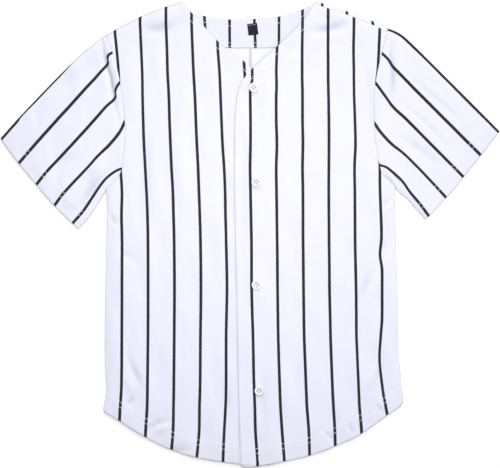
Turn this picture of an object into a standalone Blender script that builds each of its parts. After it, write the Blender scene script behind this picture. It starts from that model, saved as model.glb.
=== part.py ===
"""A short-sleeved baseball jersey, buttoned and laid flat on a table with its front up.

X runs to the right as the jersey is seen from above, Y towards the neck and Z up.  The origin is on the
table, under the middle of the jersey's box.  Right and left in the names are the wearer's, so the right
sleeve is at -X.  Sizes below are in millimetres, and MM turns them into Blender's metres.
"""

from collections import namedtuple

import bmesh
import bpy
import numpy as np

MM = 0.001

# Driving sizes
CLOTH = 1.2               # thickness of the cloth's wall
FACING = 0.8              # thickness of the back neck facing and of the label
SEAM_GAP = 0.4            # room between two pieces that are sewn together
LAY_GAP = 0.3             # room between pieces that lie on each other
UNDERARM_GAP = 1.0        # what a sleeve's seam stands off further at the armpit
EDGE_RISE = 14.0          # how far inside the garment's edge the front has risen fully
RISE = 2.0                # how much higher the front lies there
EDGE_REST = 0.8           # how far the front sinks towards the hem and the cuffs
EDGE_REST_WIDTH = 18.0
SHOULDER_ROLL = 5.0       # how far the back rolls over the shoulder onto the front
OVERLAP_LIFT = 1.8        # how far the button placket lifts the front that lies on it
OVERLAP_END = 33.0        # the x at which that lift starts to run out
OVERLAP_RUNOUT = 40.0
BACK_HEM_INSET = 2.0      # the back's hem stops this much short of the front's

# Buttons of 24 lignes with four holes
BUTTON_DIAMETER = 15.0
BUTTON_THICKNESS = 2.8
BUTTON_RIM = 1.9          # width of the raised rim
BUTTON_DISH = 0.7         # depth of the middle below the rim
BUTTON_HOLE = 2.0
HOLE_REACH = 2.6          # from the button's middle to the middle of each hole

# The label in the neck
LABEL_SIZE = (16.0, 18.5)
LABEL_CENTRE = (4.5, 328.0)
LABEL_TURN = 7.0          # degrees

BACK_MIDDLE = CLOTH / 2
EDGE_MIDDLE = 1.5 * CLOTH + LAY_GAP

Place = namedtuple("Place", "x y")
Crease = namedtuple("Crease", "x0 y0 x1 y1 half_width height")


def places(*pairs):
    return [Place(*pair) for pair in pairs]


# The folded edges of the garment, each from the top or the body outwards
SHOULDER = {
    "right": places((-108, 372), (-158, 355), (-198, 336), (-231, 317)),
    "left": places((106.5, 372), (160, 354.5), (200, 338.5), (221, 328.5)),
}
SLEEVE_TOP = {
    "right": places((-231, 317), (-258, 297.5), (-298, 260), (-335, 222), (-371, 184), (-399, 152.5)),
    "left": places((221, 328.5), (240, 320), (261, 302), (321.5, 242), (360, 203.5), (399, 164)),
}
UNDERARM = {
    "right": places((-230.5, 71), (-246, 45), (-262.5, 22), (-275, 8)),
    "left": places((232, 75.5), (240, 66), (252, 57), (264, 43), (282, 23.5)),
}
SIDE = {
    "right": places((-230.5, 71), (-229, 47), (-229.5, -9), (-231.5, -105), (-232, -200),
                    (-229.5, -246), (-232, -266), (-235, -281)),
    "left": places((232, 75.5), (232, 47), (233.5, -9), (236, -105), (237, -185),
                   (240.5, -217), (242.5, -243), (245.5, -266)),
}

# The free edges
CUFF = {
    "right": places((-399, 152.5), (-380, 126), (-349.5, 88), (-316, 49), (-275, 8)),
    "left": places((399, 164), (384, 145), (354, 107), (323.5, 69), (282, 23.5)),
}
HEM = {
    "right": places((-235, -281), (-230, -286.5), (-210.5, -298), (-169, -324), (-127.5, -344.5),
                    (-85.5, -357.5), (-41.5, -365), (-14.5, -368.5), (33, -370)),
    "left": places((245.5, -266), (241, -275), (224.5, -286), (178.5, -319), (136, -339.5),
                   (95, -354.5), (55, -363.5), (12, -371.5), (-6.5, -372.5), (-15, -369.5)),
}
FRONT_EDGE = {
    "right": places((33, -370), (31, -150), (28, 80), (27, 238)),
    "left": places((-15, -369.5), (-18, -263), (-21, -105), (-24, 30), (-24.5, 143), (-23.5, 193),
                   (-17.5, 234), (-4.5, 256)),
}
FRONT_NECK = {
    "right": places((27, 238), (2, 264), (-10.5, 277), (-35, 295), (-51.5, 308.5), (-69.5, 328),
                    (-91, 351), (-108, 372)),
    "left": places((-4.5, 256), (5.5, 266.5), (30, 288.5), (47, 303.5), (75.5, 331), (89, 346),
                   (99, 363), (106.5, 372)),
}
BACK_NECK = places((-108, 372), (-96, 357.5), (-77, 350.5), (-47, 345), (-24, 344), (0.5, 344.5),
                   (26.5, 346.5), (48, 349), (67.5, 354), (84, 360), (106.5, 372))
FACING_HEM = places((-116, 350), (-98, 322), (-70, 303), (-35, 298), (0, 297.5), (35, 298),
                    (70, 303), (98, 322), (115, 350))

# The seams that join the sleeves, from the armpit up to the shoulder
ARMHOLE = {
    "right": places((-230.5, 71), (-211, 92), (-205, 108), (-201, 143), (-200.5, 181), (-208, 243),
                    (-220, 291), (-231, 317)),
    "left": places((232, 75.5), (214, 92), (207.5, 111), (201.5, 143), (199, 180), (200, 237),
                   (211, 290), (221, 328.5)),
}
BACK_ARMHOLE_STEP = 6.0   # the back is this much wider than the front halfway up its armholes

# Buttons, from the neck down
BUTTONS = places((5.9, 234), (9.8, 82.8), (10, -81.4), (14.7, -250.6))

# The largest folds of the front: ridges are above 0 and troughs below
CREASES = [
    Crease(-112, 215, -110, 30, 15, 0.8),
    Crease(-60, 150, -52, -60, 15, 0.7),
    Crease(-165, 190, -160, -120, 12, 0.6),
    Crease(75, 190, 82, -60, 17, 0.7),
    Crease(150, 160, 155, -140, 14, 0.6),
    Crease(-172, 333, -104, 340, 12, -0.8),
    Crease(62, 322, 205, 324, 12, -0.8),
    Crease(-226, 300, -204, 225, 7, -0.8),
    Crease(-238, 272, -222, 200, 9, 0.9),
    Crease(229, 312, 228, 225, 8, -0.8),
    Crease(243, 285, 246, 205, 9, 0.8),
    Crease(-286, 34, -214, 104, 10, -0.9),
    Crease(283, 198, 334, 126, 7, -0.8),
    Crease(243, 175, 290, 138, 9, -0.8),
    Crease(-196, -205, -170, -262, 10, -0.8),
    Crease(196, -130, 186, -262, 12, -0.9),
]

# How finely the pieces are divided
NEAR_EDGE = (SHOULDER_ROLL, 13.0)   # columns this far inside the garment's edge, for its rise
SIDE_ROWS = 13
ARMHOLE_ROWS = 8
NECK_ROWS = 5
SLEEVE_ROWS = 8
FRONT_COLUMNS = 13
SHOULDER_COLUMNS = 6
NECK_COLUMNS = 10
FINE_STEP = 40            # points that a curve's span is first drawn with
EVENING_STEPS = 400


# Curves

def drawn(rows):
    """A smooth curve through a table's points, as an array of close points."""
    p = np.array(rows, float)
    p = np.vstack([2 * p[0] - p[1], p, 2 * p[-1] - p[-2]])
    spans = []
    for a, b, c, d in zip(p, p[1:], p[2:], p[3:]):
        t = np.linspace(0, 1, FINE_STEP, endpoint=False)[:, None]
        spans.append(0.5 * (2 * b + (c - a) * t + (2 * a - 5 * b + 4 * c - d) * t ** 2
                            + (3 * b - a - 3 * c + d) * t ** 3))
    return np.vstack([*spans, p[-2]])


def along(curve):
    return np.concatenate([[0], np.cumsum(np.linalg.norm(np.diff(curve, axis=0), axis=1))])


def length(curve):
    return along(curve)[-1]


def at(curve, distances):
    """The points at these distances along a curve."""
    run = along(curve)
    return np.stack([np.interp(distances, run, curve[:, k]) for k in range(2)], axis=1)


def shares(curve, count):
    return at(curve, np.linspace(0, length(curve), count + 1))


def joined(*curves):
    return np.vstack([curves[0], *(c[1:] for c in curves[1:])])


def clear_of(points, curve):
    """How far each point is from a curve."""
    a, d = curve[:-1], np.diff(curve, axis=0)
    size = np.maximum((d * d).sum(1), 1e-12)
    p = points.reshape(-1, 2)
    best = np.full(len(p), np.inf)
    for start, step, squared in zip(a, d, size):
        t = np.clip(((p - start) @ step) / squared, 0, 1)[:, None]
        best = np.minimum(best, np.linalg.norm(p - start - t * step, axis=1))
    return best.reshape(points.shape[:-1])


FOLDED_EDGES = [
    joined(shares(drawn(SHOULDER[s]), 12), shares(drawn(SLEEVE_TOP[s]), 20)) for s in SHOULDER
] + [
    joined(shares(drawn(UNDERARM[s]), 12)[::-1], shares(drawn(SIDE[s]), 30)) for s in SIDE
]
FREE_EDGES = [shares(drawn(edge[s]), 24) for edge in (CUFF, HEM) for s in edge]


# Heights of the cloth's middle surface

def smooth_step(t):
    t = np.clip(t, 0, 1)
    return t * t * (3 - 2 * t)


def crease_height(points):
    """The folds' height at each point: soft ridges and troughs that fade towards both ends."""
    total = np.zeros(points.shape[:-1])
    for c in CREASES:
        start, end = np.array([c.x0, c.y0]), np.array([c.x1, c.y1])
        run = end - start
        t = ((points - start) @ run) / (run @ run)
        off = np.linalg.norm(points - start - np.clip(t, 0, 1)[..., None] * run, axis=-1)
        total += c.height * np.exp(-(off / c.half_width) ** 2) * (1 - np.clip(2 * t - 1, -1, 1) ** 4)
    return total


def upper_height(points):
    """The layer that faces up: the fronts and the sleeves' front halves."""
    off = np.minimum.reduce([clear_of(points, edge) for edge in FOLDED_EDGES])
    hemmed = np.minimum.reduce([clear_of(points, edge) for edge in FREE_EDGES])
    risen = 1 - (1 - np.clip(off / EDGE_RISE, 0, 1)) ** 2
    rest = EDGE_REST * np.exp(-(hemmed / EDGE_REST_WIDTH) ** 2)
    return EDGE_MIDDLE + (RISE + crease_height(points) - rest) * risen


def lower_height(points):
    """The layer that rests on the table: the back and the sleeves' back halves."""
    return np.full(points.shape[:-1], BACK_MIDDLE)


def overlap_height(points):
    """The front that lies on the other one at the button placket."""
    lift = OVERLAP_LIFT * (1 - smooth_step((points[..., 0] - OVERLAP_END) / OVERLAP_RUNOUT))
    return upper_height(points) + lift


def across(width, count, near_start, near_end):
    """Shares of a width for a row's points, with close ones inside the garment's edge."""
    first = [0, *NEAR_EDGE] if near_start else [0]
    last = [width - d for d in NEAR_EDGE[::-1]] + [width] if near_end else [width]
    middle = np.linspace(first[-1], last[0], count + 1)[1:-1]
    return np.array([*first, *middle, *last]) / width


# Seam points that two pieces share

def armhole_points(side, back=False):
    """An armhole seam from the armpit to the shoulder fold, with a point where the back's roll ends."""
    curve = drawn(ARMHOLE[side])
    if back:
        outward = -1 if side == "right" else 1
        bow = np.sin(np.pi * along(curve) / length(curve)) ** 2
        curve = curve + np.outer(bow, [outward * BACK_ARMHOLE_STEP, 0])
    return at(curve, across(length(curve), ARMHOLE_ROWS, True, True) * length(curve))


def side_points(side):
    """The side seam from the hem to the armpit."""
    return shares(drawn(SIDE[side]), SIDE_ROWS)[::-1]


def shoulder_roll(side, distances):
    """Points on the shoulder fold, from the armhole on, and the way each rolls onto the front."""
    fold = drawn(SHOULDER[side])[::-1]
    seam, neck = armhole_points(side), drawn(FRONT_NECK[side])[::-1]
    start = seam[-2] - seam[-1]
    end = at(neck, [SHOULDER_ROLL])[0] - neck[0]
    share = np.array(distances)[:, None] / length(fold)
    roll = start * (1 - share) + end * share
    return at(fold, distances), SHOULDER_ROLL * roll / np.linalg.norm(roll, axis=1)[:, None]


# Pieces

def patch(bottom, top, left, right, width_shares):
    """A grid of points between four edges, blended from all of them."""
    run = [along(edge) / length(edge) for edge in (left, right)]
    t = ((run[0] + run[1]) / 2)[:, None, None]
    s, first, last = width_shares[:, :, None], width_shares[0][:, None], width_shares[-1][:, None]
    sides = (1 - s) * left[:, None] + s * right[:, None]
    bottom_bow = bottom - (1 - first) * left[0] - first * right[0]
    top_bow = top - (1 - last) * left[-1] - last * right[-1]
    return sides + (1 - t) * bottom_bow + t * top_bow


def evened(grid, width_shares, t):
    """Lets the points inside a grid settle evenly between their neighbours, at their own shares."""
    s, t = width_shares[:, :, None], t[:, None, None]
    by_row = (s[1:-1, 1:-1] - s[1:-1, :-2]) / (s[1:-1, 2:] - s[1:-1, :-2])
    by_column = (t[1:-1] - t[:-2]) / (t[2:] - t[:-2])
    for _ in range(EVENING_STEPS):
        in_row = (1 - by_row) * grid[1:-1, :-2] + by_row * grid[1:-1, 2:]
        in_column = (1 - by_column) * grid[:-2, 1:-1] + by_column * grid[2:, 1:-1]
        grid[1:-1, 1:-1] = (in_row + in_column) / 2
    return grid


def row_shares(left, right, count, near_start, near_end):
    widths = np.linalg.norm(right - left, axis=1)
    return np.array([across(w, count, near_start, near_end) for w in widths])


def raised(flat, heights):
    return np.concatenate([flat, heights[..., None]], axis=-1)


def drawn_back(grid, rows=slice(None), further=0):
    """Pulls some rows' first points square away from their seam by half the seam's gap."""
    seam = grid[rows, 0]
    tangent = np.gradient(seam, axis=0)
    square = np.stack([-tangent[:, 1], tangent[:, 0]], axis=1)
    square /= np.linalg.norm(square, axis=1)[:, None]
    inward = np.sign(((grid[rows, 1] - seam) * square).sum())
    grid[rows, 0] += inward * square * (SEAM_GAP / 2 + np.broadcast_to(further, len(seam)))[:, None]


def piece(name, grid, thickness, material, ring=False, keep=None):
    """A sheet of cloth from a grid of points, given its thickness by Solidify."""
    mesh = bpy.data.meshes.new(name)
    form = bmesh.new()
    verts = [[form.verts.new(p * MM) for p in row] for row in grid]
    columns = len(verts[0])
    for i in range(len(verts) - 1):
        for j in range(columns if ring else columns - 1):
            if keep is None or keep(i, j):
                k = (j + 1) % columns
                form.faces.new((verts[i][j], verts[i][k], verts[i + 1][k], verts[i + 1][j]))
    loose = [v for v in form.verts if not v.link_faces]
    bmesh.ops.delete(form, geom=loose, context="VERTS")
    bmesh.ops.recalc_face_normals(form, faces=form.faces)
    form.to_mesh(mesh)
    form.free()
    body = bpy.data.objects.new(name, mesh)
    mesh.shade_smooth()
    mesh.materials.append(material)
    PARTS.objects.link(body)
    wall = body.modifiers.new("wall", "SOLIDIFY")
    wall.thickness = thickness * MM
    wall.offset = 0
    return body


def front(side, height, material):
    """A front, from its side seam and armhole to its front edge and neckline."""
    outer = joined(side_points(side), armhole_points(side)[:-1])
    fold, roll = shoulder_roll(side, np.linspace(0, length(drawn(SHOULDER[side])), 20))
    top_line = fold + roll
    edge, neck = drawn(FRONT_EDGE[side]), drawn(FRONT_NECK[side])
    edge_rows = len(outer) - 1 - NECK_ROWS
    neck_distances = np.linspace(0, length(neck) - SHOULDER_ROLL, NECK_ROWS + 1)
    inner = joined(shares(edge, edge_rows), at(neck, neck_distances))
    inner[-1] = top_line[-1]
    widths = row_shares(outer, inner, FRONT_COLUMNS, True, False)
    hem = drawn(HEM[side])
    bottom = at(hem, widths[0] * length(hem))
    top = at(top_line, widths[-1] * length(top_line))
    flat = patch(bottom, top, outer, inner, widths)
    heights = height(flat)
    drawn_back(flat, slice(SIDE_ROWS, None))
    drawn_back(flat[::-1].swapaxes(0, 1))
    return piece(f"front_{side}", raised(flat, heights), CLOTH, material)


def back(material):
    """The back, in one piece, whose shoulders roll over onto the fronts."""
    right, left = (joined(side_points(s), armhole_points(s, back=True)) for s in SIDE)
    (right_fold, right_roll), (left_fold, left_roll) = (
        shoulder_roll(s, np.linspace(0, length(drawn(SHOULDER[s])), SHOULDER_COLUMNS + 1)) for s in SIDE)
    top = joined(right_fold, shares(drawn(BACK_NECK), NECK_COLUMNS), left_fold[::-1])
    widths = np.tile(along(top) / length(top), (len(right), 1))
    hem = joined(drawn(HEM["right"])[:-FINE_STEP], drawn(HEM["left"])[::-1][FINE_STEP:])
    hem = hem + np.outer(np.sin(np.pi * along(hem) / length(hem)), [0, BACK_HEM_INSET])
    bottom = at(hem, widths[0] * length(hem))
    flat = patch(bottom, top, right, left, widths)

    roll = np.zeros_like(top)
    roll[:len(right_roll)] = right_roll
    roll[-len(left_roll):] = left_roll[::-1]
    sewn = top + roll * (1 - SEAM_GAP / 2 / SHOULDER_ROLL)
    fold_row = len(flat) - 1
    shoulders = (len(right_roll) - 1, len(top) - len(left_roll))
    heights = np.vstack([lower_height(flat), np.full(len(top), EDGE_MIDDLE), upper_height(sewn)])
    whole = np.vstack([flat, [top, sewn]])
    drawn_back(whole[:fold_row + 1], slice(SIDE_ROWS, None))
    drawn_back(whole[:fold_row + 1, ::-1], slice(SIDE_ROWS, None))
    for column in (0, -1):
        whole[fold_row + 1:, column] += whole[fold_row, column] - top[column]

    def keep(i, j):
        return i < fold_row or j < shoulders[0] or j >= shoulders[1]

    return piece("back", raised(whole, heights), CLOTH, material, keep=keep)


def sleeve(side, material):
    """A sleeve: one piece, folded along its top edge and seamed under the arm."""
    halves = []
    top_fold = shares(drawn(SLEEVE_TOP[side]), SLEEVE_ROWS)
    under = shares(drawn(UNDERARM[side]), SLEEVE_ROWS)
    cuff = drawn(CUFF[side])
    even_rows = np.linspace(0, 1, SLEEVE_ROWS + 1)
    for is_back, height in ((False, upper_height), (True, lower_height)):
        seam = armhole_points(side, back=is_back)[::-1]
        count = len(seam) - 1 - 2 * len(NEAR_EDGE)
        widths = row_shares(top_fold, under, count, True, True)
        hem = at(cuff, widths[-1] * length(cuff))
        flat = evened(patch(seam, hem, top_fold, under, widths), widths, even_rows)
        heights = height(flat)
        from_armpit = np.linalg.norm(seam - seam[-1], axis=1)
        drawn_back(flat.swapaxes(0, 1), further=UNDERARM_GAP * np.exp(-(from_armpit / 10) ** 2))
        halves.append(raised(flat, heights))
    upper, lower = halves
    ring = np.concatenate([upper, lower[:, ::-1]], axis=1)
    return piece(f"sleeve_{side}", ring, CLOTH, material, ring=True)


def neck_facing(material):
    """The facing inside the back of the neck."""
    neck, hem = drawn(BACK_NECK), drawn(FACING_HEM)
    inset = 14
    top = at(neck, np.linspace(inset, length(neck) - inset, 15)) - [0, LAY_GAP]
    bottom = at(hem, np.linspace(0, length(hem), 15))
    left = np.linspace(bottom[0], top[0], 4)
    right = np.linspace(bottom[-1], top[-1], 4)
    widths = np.tile(np.linspace(0, 1, 15), (4, 1))
    middle = CLOTH + LAY_GAP + FACING / 2
    flat = patch(bottom, top, left, right, widths)
    grid = raised(flat, np.full(flat.shape[:-1], middle))
    return piece("neck_facing", grid, FACING, material)


def label(material):
    """The small woven label on the facing."""
    turn = np.radians(LABEL_TURN)
    axes = np.array([[np.cos(turn), np.sin(turn)], [-np.sin(turn), np.cos(turn)]])
    x = np.linspace(-0.5, 0.5, 3) * LABEL_SIZE[0]
    y = np.linspace(-0.5, 0.5, 4) * LABEL_SIZE[1]
    flat = np.stack(np.meshgrid(x, y), axis=-1) @ axes + LABEL_CENTRE
    middle = CLOTH + FACING * 1.5 + 2 * LAY_GAP
    grid = raised(flat, np.full(flat.shape[:-1], middle))
    return piece("label", grid, FACING, material)


def button(number, place, material):
    """A dished button with a raised rim and four holes."""
    radius, dish = BUTTON_DIAMETER / 2, BUTTON_THICKNESS - BUTTON_DISH
    profile = [
        (0, dish), (radius - BUTTON_RIM, dish), (radius - 0.6 * BUTTON_RIM, BUTTON_THICKNESS),
        (radius - 0.5, BUTTON_THICKNESS), (radius, BUTTON_THICKNESS * 0.6), (radius - 0.8, 0), (0, 0),
    ]
    name = f"button_{number}"
    mesh = bpy.data.meshes.new(name)
    mesh.from_pydata([(x * MM, 0, z * MM) for x, z in profile], [(i, i + 1) for i in range(6)], [])
    disc = bpy.data.objects.new(name, mesh)
    PARTS.objects.link(disc)
    mesh.materials.append(material)
    turned = disc.modifiers.new("turned", "SCREW")
    turned.steps = turned.render_steps = 24
    turned.use_merge_vertices = True
    turned.merge_threshold = 0.00002
    turned.use_smooth_shade = False
    diamond = ((HOLE_REACH, 0), (0, HOLE_REACH), (-HOLE_REACH, 0), (0, -HOLE_REACH))
    for n, (x, y) in enumerate(diamond):
        cut = disc.modifiers.new(f"hole_{n}", "BOOLEAN")
        cut.operation = "DIFFERENCE"
        cut.object = hole_cutter(f"cutter_{number}_{n}", x, y, disc)
    spot = np.array([[place.x + x, place.y + y] for x in (-radius, 0, radius) for y in (-radius, 0, radius)])
    top_face = overlap_height(spot).max() + CLOTH / 2
    disc.location = (place.x * MM, place.y * MM, (top_face + LAY_GAP) * MM)
    return disc


def hole_cutter(name, x, y, parent):
    mesh = bpy.data.meshes.new(name)
    form = bmesh.new()
    bmesh.ops.create_cone(form, cap_ends=True, segments=8, radius1=BUTTON_HOLE / 2 * MM,
                          radius2=BUTTON_HOLE / 2 * MM, depth=4 * BUTTON_THICKNESS * MM)
    form.to_mesh(mesh)
    form.free()
    cutter = bpy.data.objects.new(name, mesh)
    CUTTERS.objects.link(cutter)
    cutter.parent = parent
    cutter.location = (x * MM, y * MM, 0)
    cutter.hide_render = True
    cutter.display_type = "WIRE"
    return cutter


def material(name, colour, roughness):
    made = bpy.data.materials.new(name)
    made.use_nodes = True
    shader = made.node_tree.nodes["Principled BSDF"]
    shader.inputs["Base Color"].default_value = (*colour, 1)
    shader.inputs["Roughness"].default_value = roughness
    shader.inputs["Metallic"].default_value = 0
    return made


def collection(name):
    made = bpy.data.collections.new(name)
    bpy.context.scene.collection.children.link(made)
    return made


for old in list(bpy.data.objects):
    bpy.data.objects.remove(old)

PARTS = collection("baseball_jersey")
CUTTERS = collection("cutters")

cloth = material("pinstriped_jersey", (0.86, 0.87, 0.94), 0.85)
label_cloth = material("woven_label", (0.03, 0.03, 0.04), 0.8)
plastic = material("button_plastic", (0.88, 0.88, 0.9), 0.35)

back(cloth)
front("right", upper_height, cloth)
front("left", overlap_height, cloth)
sleeve("right", cloth)
sleeve("left", cloth)
neck_facing(cloth)
label(label_cloth)
for order, spot in enumerate(BUTTONS, start=1):
    button(order, spot, plastic)
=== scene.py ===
"""The looks of a pinstriped baseball jersey that lies flat with its front up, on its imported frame.

X runs to the right, Y towards the neck and Z up from the table.  Right and left in the names are the
wearer's.  Sizes and places are in millimetres, and MM turns them into Blender's metres.
"""

from collections import namedtuple

import bmesh
import bpy
import numpy as np
from mathutils import Matrix, Vector


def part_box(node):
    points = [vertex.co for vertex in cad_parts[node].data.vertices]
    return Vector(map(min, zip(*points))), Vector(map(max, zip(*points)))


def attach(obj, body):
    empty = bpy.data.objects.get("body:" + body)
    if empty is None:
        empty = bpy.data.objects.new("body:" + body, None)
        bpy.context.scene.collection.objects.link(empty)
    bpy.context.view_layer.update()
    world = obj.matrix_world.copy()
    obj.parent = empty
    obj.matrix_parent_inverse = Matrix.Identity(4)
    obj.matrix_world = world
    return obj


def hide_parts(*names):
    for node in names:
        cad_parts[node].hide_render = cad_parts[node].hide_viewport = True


MM = 0.001

# Cloth
CLOTH = 1.0               # thickness of the shell that shows
TRIM = 0.3                # the same for the neck facing and the label
REST_GAP = 0.05           # room between two layers that lie on each other
TURNED_LAYER = 0.35       # how much a turned hem thickens the cloth
TURNED_FADE = 3.0         # how far past its sewn rows that runs out
SEAM_GAP = 0.3            # room between two pieces that are sewn together
UNDERARM_GAP = 0.8        # how much further a sleeve's seam stands off at the armpit
UNDERARM_REACH = 8.0
EDGE_BULGE = 0.3          # how far a sleeve's folded edges round outwards

# Heights of the middle of the cloth
BACK_MIDDLE = 0.6
EDGE_MIDDLE = 2.0         # the front where it meets the back
UPPER_LAYER = 1.2         # what parts the two layers of a sleeve
EDGE_RISE = 14.0          # how far inside the edges the front has risen fully
RISE = 2.1                # how much higher it lies there
FOLD_RISE = 5.0           # how far inside the edges the smaller folds have their full height
EDGE_REST = 0.8           # how far the front sinks towards the hem and the cuffs
EDGE_REST_WIDTH = 18.0
OVERLAP_LIFT = 1.9        # how far the button placket lifts the front that lies on it
OVERLAP_END = 33.0        # the x at which that lift starts to run out
OVERLAP_RUNOUT = 40.0
BACK_FOLD_SHARE = 0.4     # the back's folds, against those of the front
BACK_FOLD_HEIGHT = 0.45
BACK_FOLDS_END = 280.0    # they stop below the neck facing
BACK_FOLDS_FADE = 40.0

# The back's outline and the strips that roll over the shoulders onto the fronts
BACK_HEM_INSET = 2.0
BACK_ARMHOLE_STEP = 6.0
SHOULDER_ROLL = {"right": 1.6, "left": 5.0}
ROLL_SHARES = (0.02, 0.3, 0.6, 0.85, 1.0)   # rows of points on the rolled strip
ROLL_BULGE = 0.45
ROLL_SINK = 0.35          # how far its seam sinks into the front

# How far the cloth dips along an edge or a seam, and how wide the dip is
Dip = namedtuple("Dip", "depth width")
ARMHOLE_DIP = Dip(0.45, 2.2)
SLEEVE_DIP = Dip(0.6, 2.6)
SHOULDER_DIP = Dip(0.35, 2.0)
EDGE_DIP = Dip(0.3, 1.2)

# Each pair of shades that the cloth varies between, and the stripes. The wrong side's pair is lighter than
# the right side's, painted light where the back shows inside the neck, and the facing's pair darker,
# painted shade for the neck opening.
RIGHT_SIDE_SHADES = ((0.785, 0.795, 0.92, 1), (0.82, 0.828, 0.955, 1))
WRONG_SIDE_SHADES = ((0.825, 0.835, 0.94, 1), (0.855, 0.863, 0.965, 1))
FACING_PAINTED_SHADE_TONES = ((0.75, 0.76, 0.885, 1), (0.782, 0.79, 0.92, 1))
STRIPE_PITCH = 41.6
STRIPE_WIDTH = 4.7
STRIPE_COLOUR = (0.022, 0.022, 0.03, 1)
SHOW_THROUGH = 0.28       # how strongly the stripes show on the wrong side

# Sewn rows, by their distance from the edge
HEM_ROWS = (20.5, 28.5)
CUFF_ROWS = (17.0, 25.0)
NECK_ROW = 10.5
PLACKET_ROW = 30.0
FACING_ROWS = (2.4, 8.6)
STITCH_LENGTH = 2.7
STITCH_STEP = 3.5
STITCH_WIDTH = 0.9
STITCH_HEIGHT = 0.45
NECK_ROW_START = 0.78     # where two rows start or end, as shares of the front's rows of points
PLACKET_ROW_END = 0.73
ROW_END = 4               # points of the grid that a row stops short of an edge

# A stitch: its cross-section, then its sections as a place along it, a scale and a height
STITCH_RING = np.array([(-0.5, 0.0), (-0.3, 0.75), (0.3, 0.75), (0.5, 0.0)])
STITCH_SECTIONS = ((-0.5, 0.35, -0.15), (-0.3, 1, 0), (0.3, 1, 0), (0.5, 0.35, -0.15))

# Buttons, the thread that crosses their holes, and a dark disc in each hole, painted shade for the hole's
# shadow
HOLE_RADIUS = 1.25
HOLE_REACH = 2.8
HOLE_TURN = 0.12
HOLE_SIDES = 20
CUTTER_LENGTH = 8.0
CROSSING_HEIGHT = 1.55
CROSSING_ARCH = 0.75
CROSSING_LENGTH = 4.4
CROSSING_STEP = 4.6
CROSSING_WIDTH = 0.5
CROSSING_DEPTH = 0.35
SHADE_DISC_RADIUS = 1.2
SHADE_DISC_DEPTH = 0.5
SHADE_DISC_HEIGHT = 0.65
BUTTON_SIDES = 64
RimPoint = namedtuple("RimPoint", "radius height")
BUTTON_PROFILE = [
    RimPoint(0, 2.05), RimPoint(4.6, 2.05), RimPoint(5.1, 2.15), RimPoint(5.5, 2.5),
    RimPoint(5.9, 2.75), RimPoint(6.4, 2.8), RimPoint(6.9, 2.65), RimPoint(7.3, 2.25),
    RimPoint(7.5, 1.7), RimPoint(7.4, 1.1), RimPoint(7.0, 0.5), RimPoint(6.2, 0.1),
    RimPoint(5.4, 0.0), RimPoint(0, 0),
]

# The neck facing and the label
FACING_GRID = (16, 70)
FACING_END = 14.0         # how far the facing stops short of each end of the back neck
FACING_DROP = 0.3
FACING_WAVE = 0.2
FACING_WAVE_RUN = 17.0
FACING_WAVE_ROW = 16.0
FACING_WAVE_WIDTH = 10.0
LABEL_GRID = (19, 17)
LABEL_CURL = 0.5          # how far the label's loose end lifts
LABEL_ROW = 2.2
LABEL_SIZE = (16.0, 18.5)
LABEL_CENTRE = (4.5, 328.0)
LABEL_TURN = 7.0

Place = namedtuple("Place", "x y")
Crease = namedtuple("Crease", "x0 y0 x1 y1 half_width height")


def places(*pairs):
    return [Place(*pair) for pair in pairs]


# The folded edges of the garment
SHOULDER = {
    "right": places((-108, 372), (-158, 355), (-198, 336), (-231, 317)),
    "left": places((106.5, 372), (160, 354.5), (200, 338.5), (221, 328.5)),
}
SLEEVE_TOP = {
    "right": places((-231, 317), (-258, 297.5), (-298, 260), (-335, 222), (-371, 184), (-399, 152.5)),
    "left": places((221, 328.5), (240, 320), (261, 302), (321.5, 242), (360, 203.5), (399, 164)),
}
UNDERARM = {
    "right": places((-230.5, 71), (-246, 45), (-262.5, 22), (-275, 8)),
    "left": places((232, 75.5), (240, 66), (252, 57), (264, 43), (282, 23.5)),
}
SIDE = {
    "right": places((-230.5, 71), (-229, 47), (-229.5, -9), (-231.5, -105), (-232, -200),
                    (-229.5, -246), (-232, -266), (-235, -281)),
    "left": places((232, 75.5), (232, 47), (233.5, -9), (236, -105), (237, -185),
                   (240.5, -217), (242.5, -243), (245.5, -266)),
}

# The free edges
CUFF = {
    "right": places((-399, 152.5), (-380, 126), (-349.5, 88), (-316, 49), (-275, 8)),
    "left": places((399, 164), (384, 145), (354, 107), (323.5, 69), (282, 23.5)),
}
HEM = {
    "right": places((-235, -281), (-230, -286.5), (-210.5, -298), (-169, -324), (-127.5, -344.5),
                    (-85.5, -357.5), (-41.5, -365), (-14.5, -368.5), (33, -370)),
    "left": places((245.5, -266), (241, -275), (224.5, -286), (178.5, -319), (136, -339.5),
                   (95, -354.5), (55, -363.5), (12, -371.5), (-6.5, -372.5), (-15, -369.5)),
}
FRONT_EDGE = {
    "right": places((33, -370), (31, -150), (28, 80), (27, 238)),
    "left": places((-15, -369.5), (-18, -263), (-21, -105), (-24, 30), (-24.5, 143), (-23.5, 193),
                   (-17.5, 234), (-4.5, 256)),
}
FRONT_NECK = {
    "right": places((27, 238), (2, 264), (-10.5, 277), (-35, 295), (-51.5, 308.5), (-69.5, 328),
                    (-91, 351), (-108, 372)),
    "left": places((-4.5, 256), (5.5, 266.5), (30, 288.5), (47, 303.5), (75.5, 331), (89, 346),
                   (99, 363), (106.5, 372)),
}
BACK_NECK = places((-108, 372), (-96, 357.5), (-77, 350.5), (-47, 345), (-24, 344), (0.5, 344.5),
                   (26.5, 346.5), (48, 349), (67.5, 354), (84, 360), (106.5, 372))
FACING_HEM = places((-116, 350), (-98, 322), (-70, 303), (-35, 298), (0, 297.5), (35, 298),
                    (70, 303), (98, 322), (115, 350))
ARMHOLE = {
    "right": places((-230.5, 71), (-211, 92), (-205, 108), (-201, 143), (-200.5, 181), (-208, 243),
                    (-220, 291), (-231, 317)),
    "left": places((232, 75.5), (214, 92), (207.5, 111), (201.5, 143), (199, 180), (200, 237),
                   (211, 290), (221, 328.5)),
}
BUTTONS = places((5.9, 234), (9.8, 82.8), (10, -81.4), (14.7, -250.6))

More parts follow.
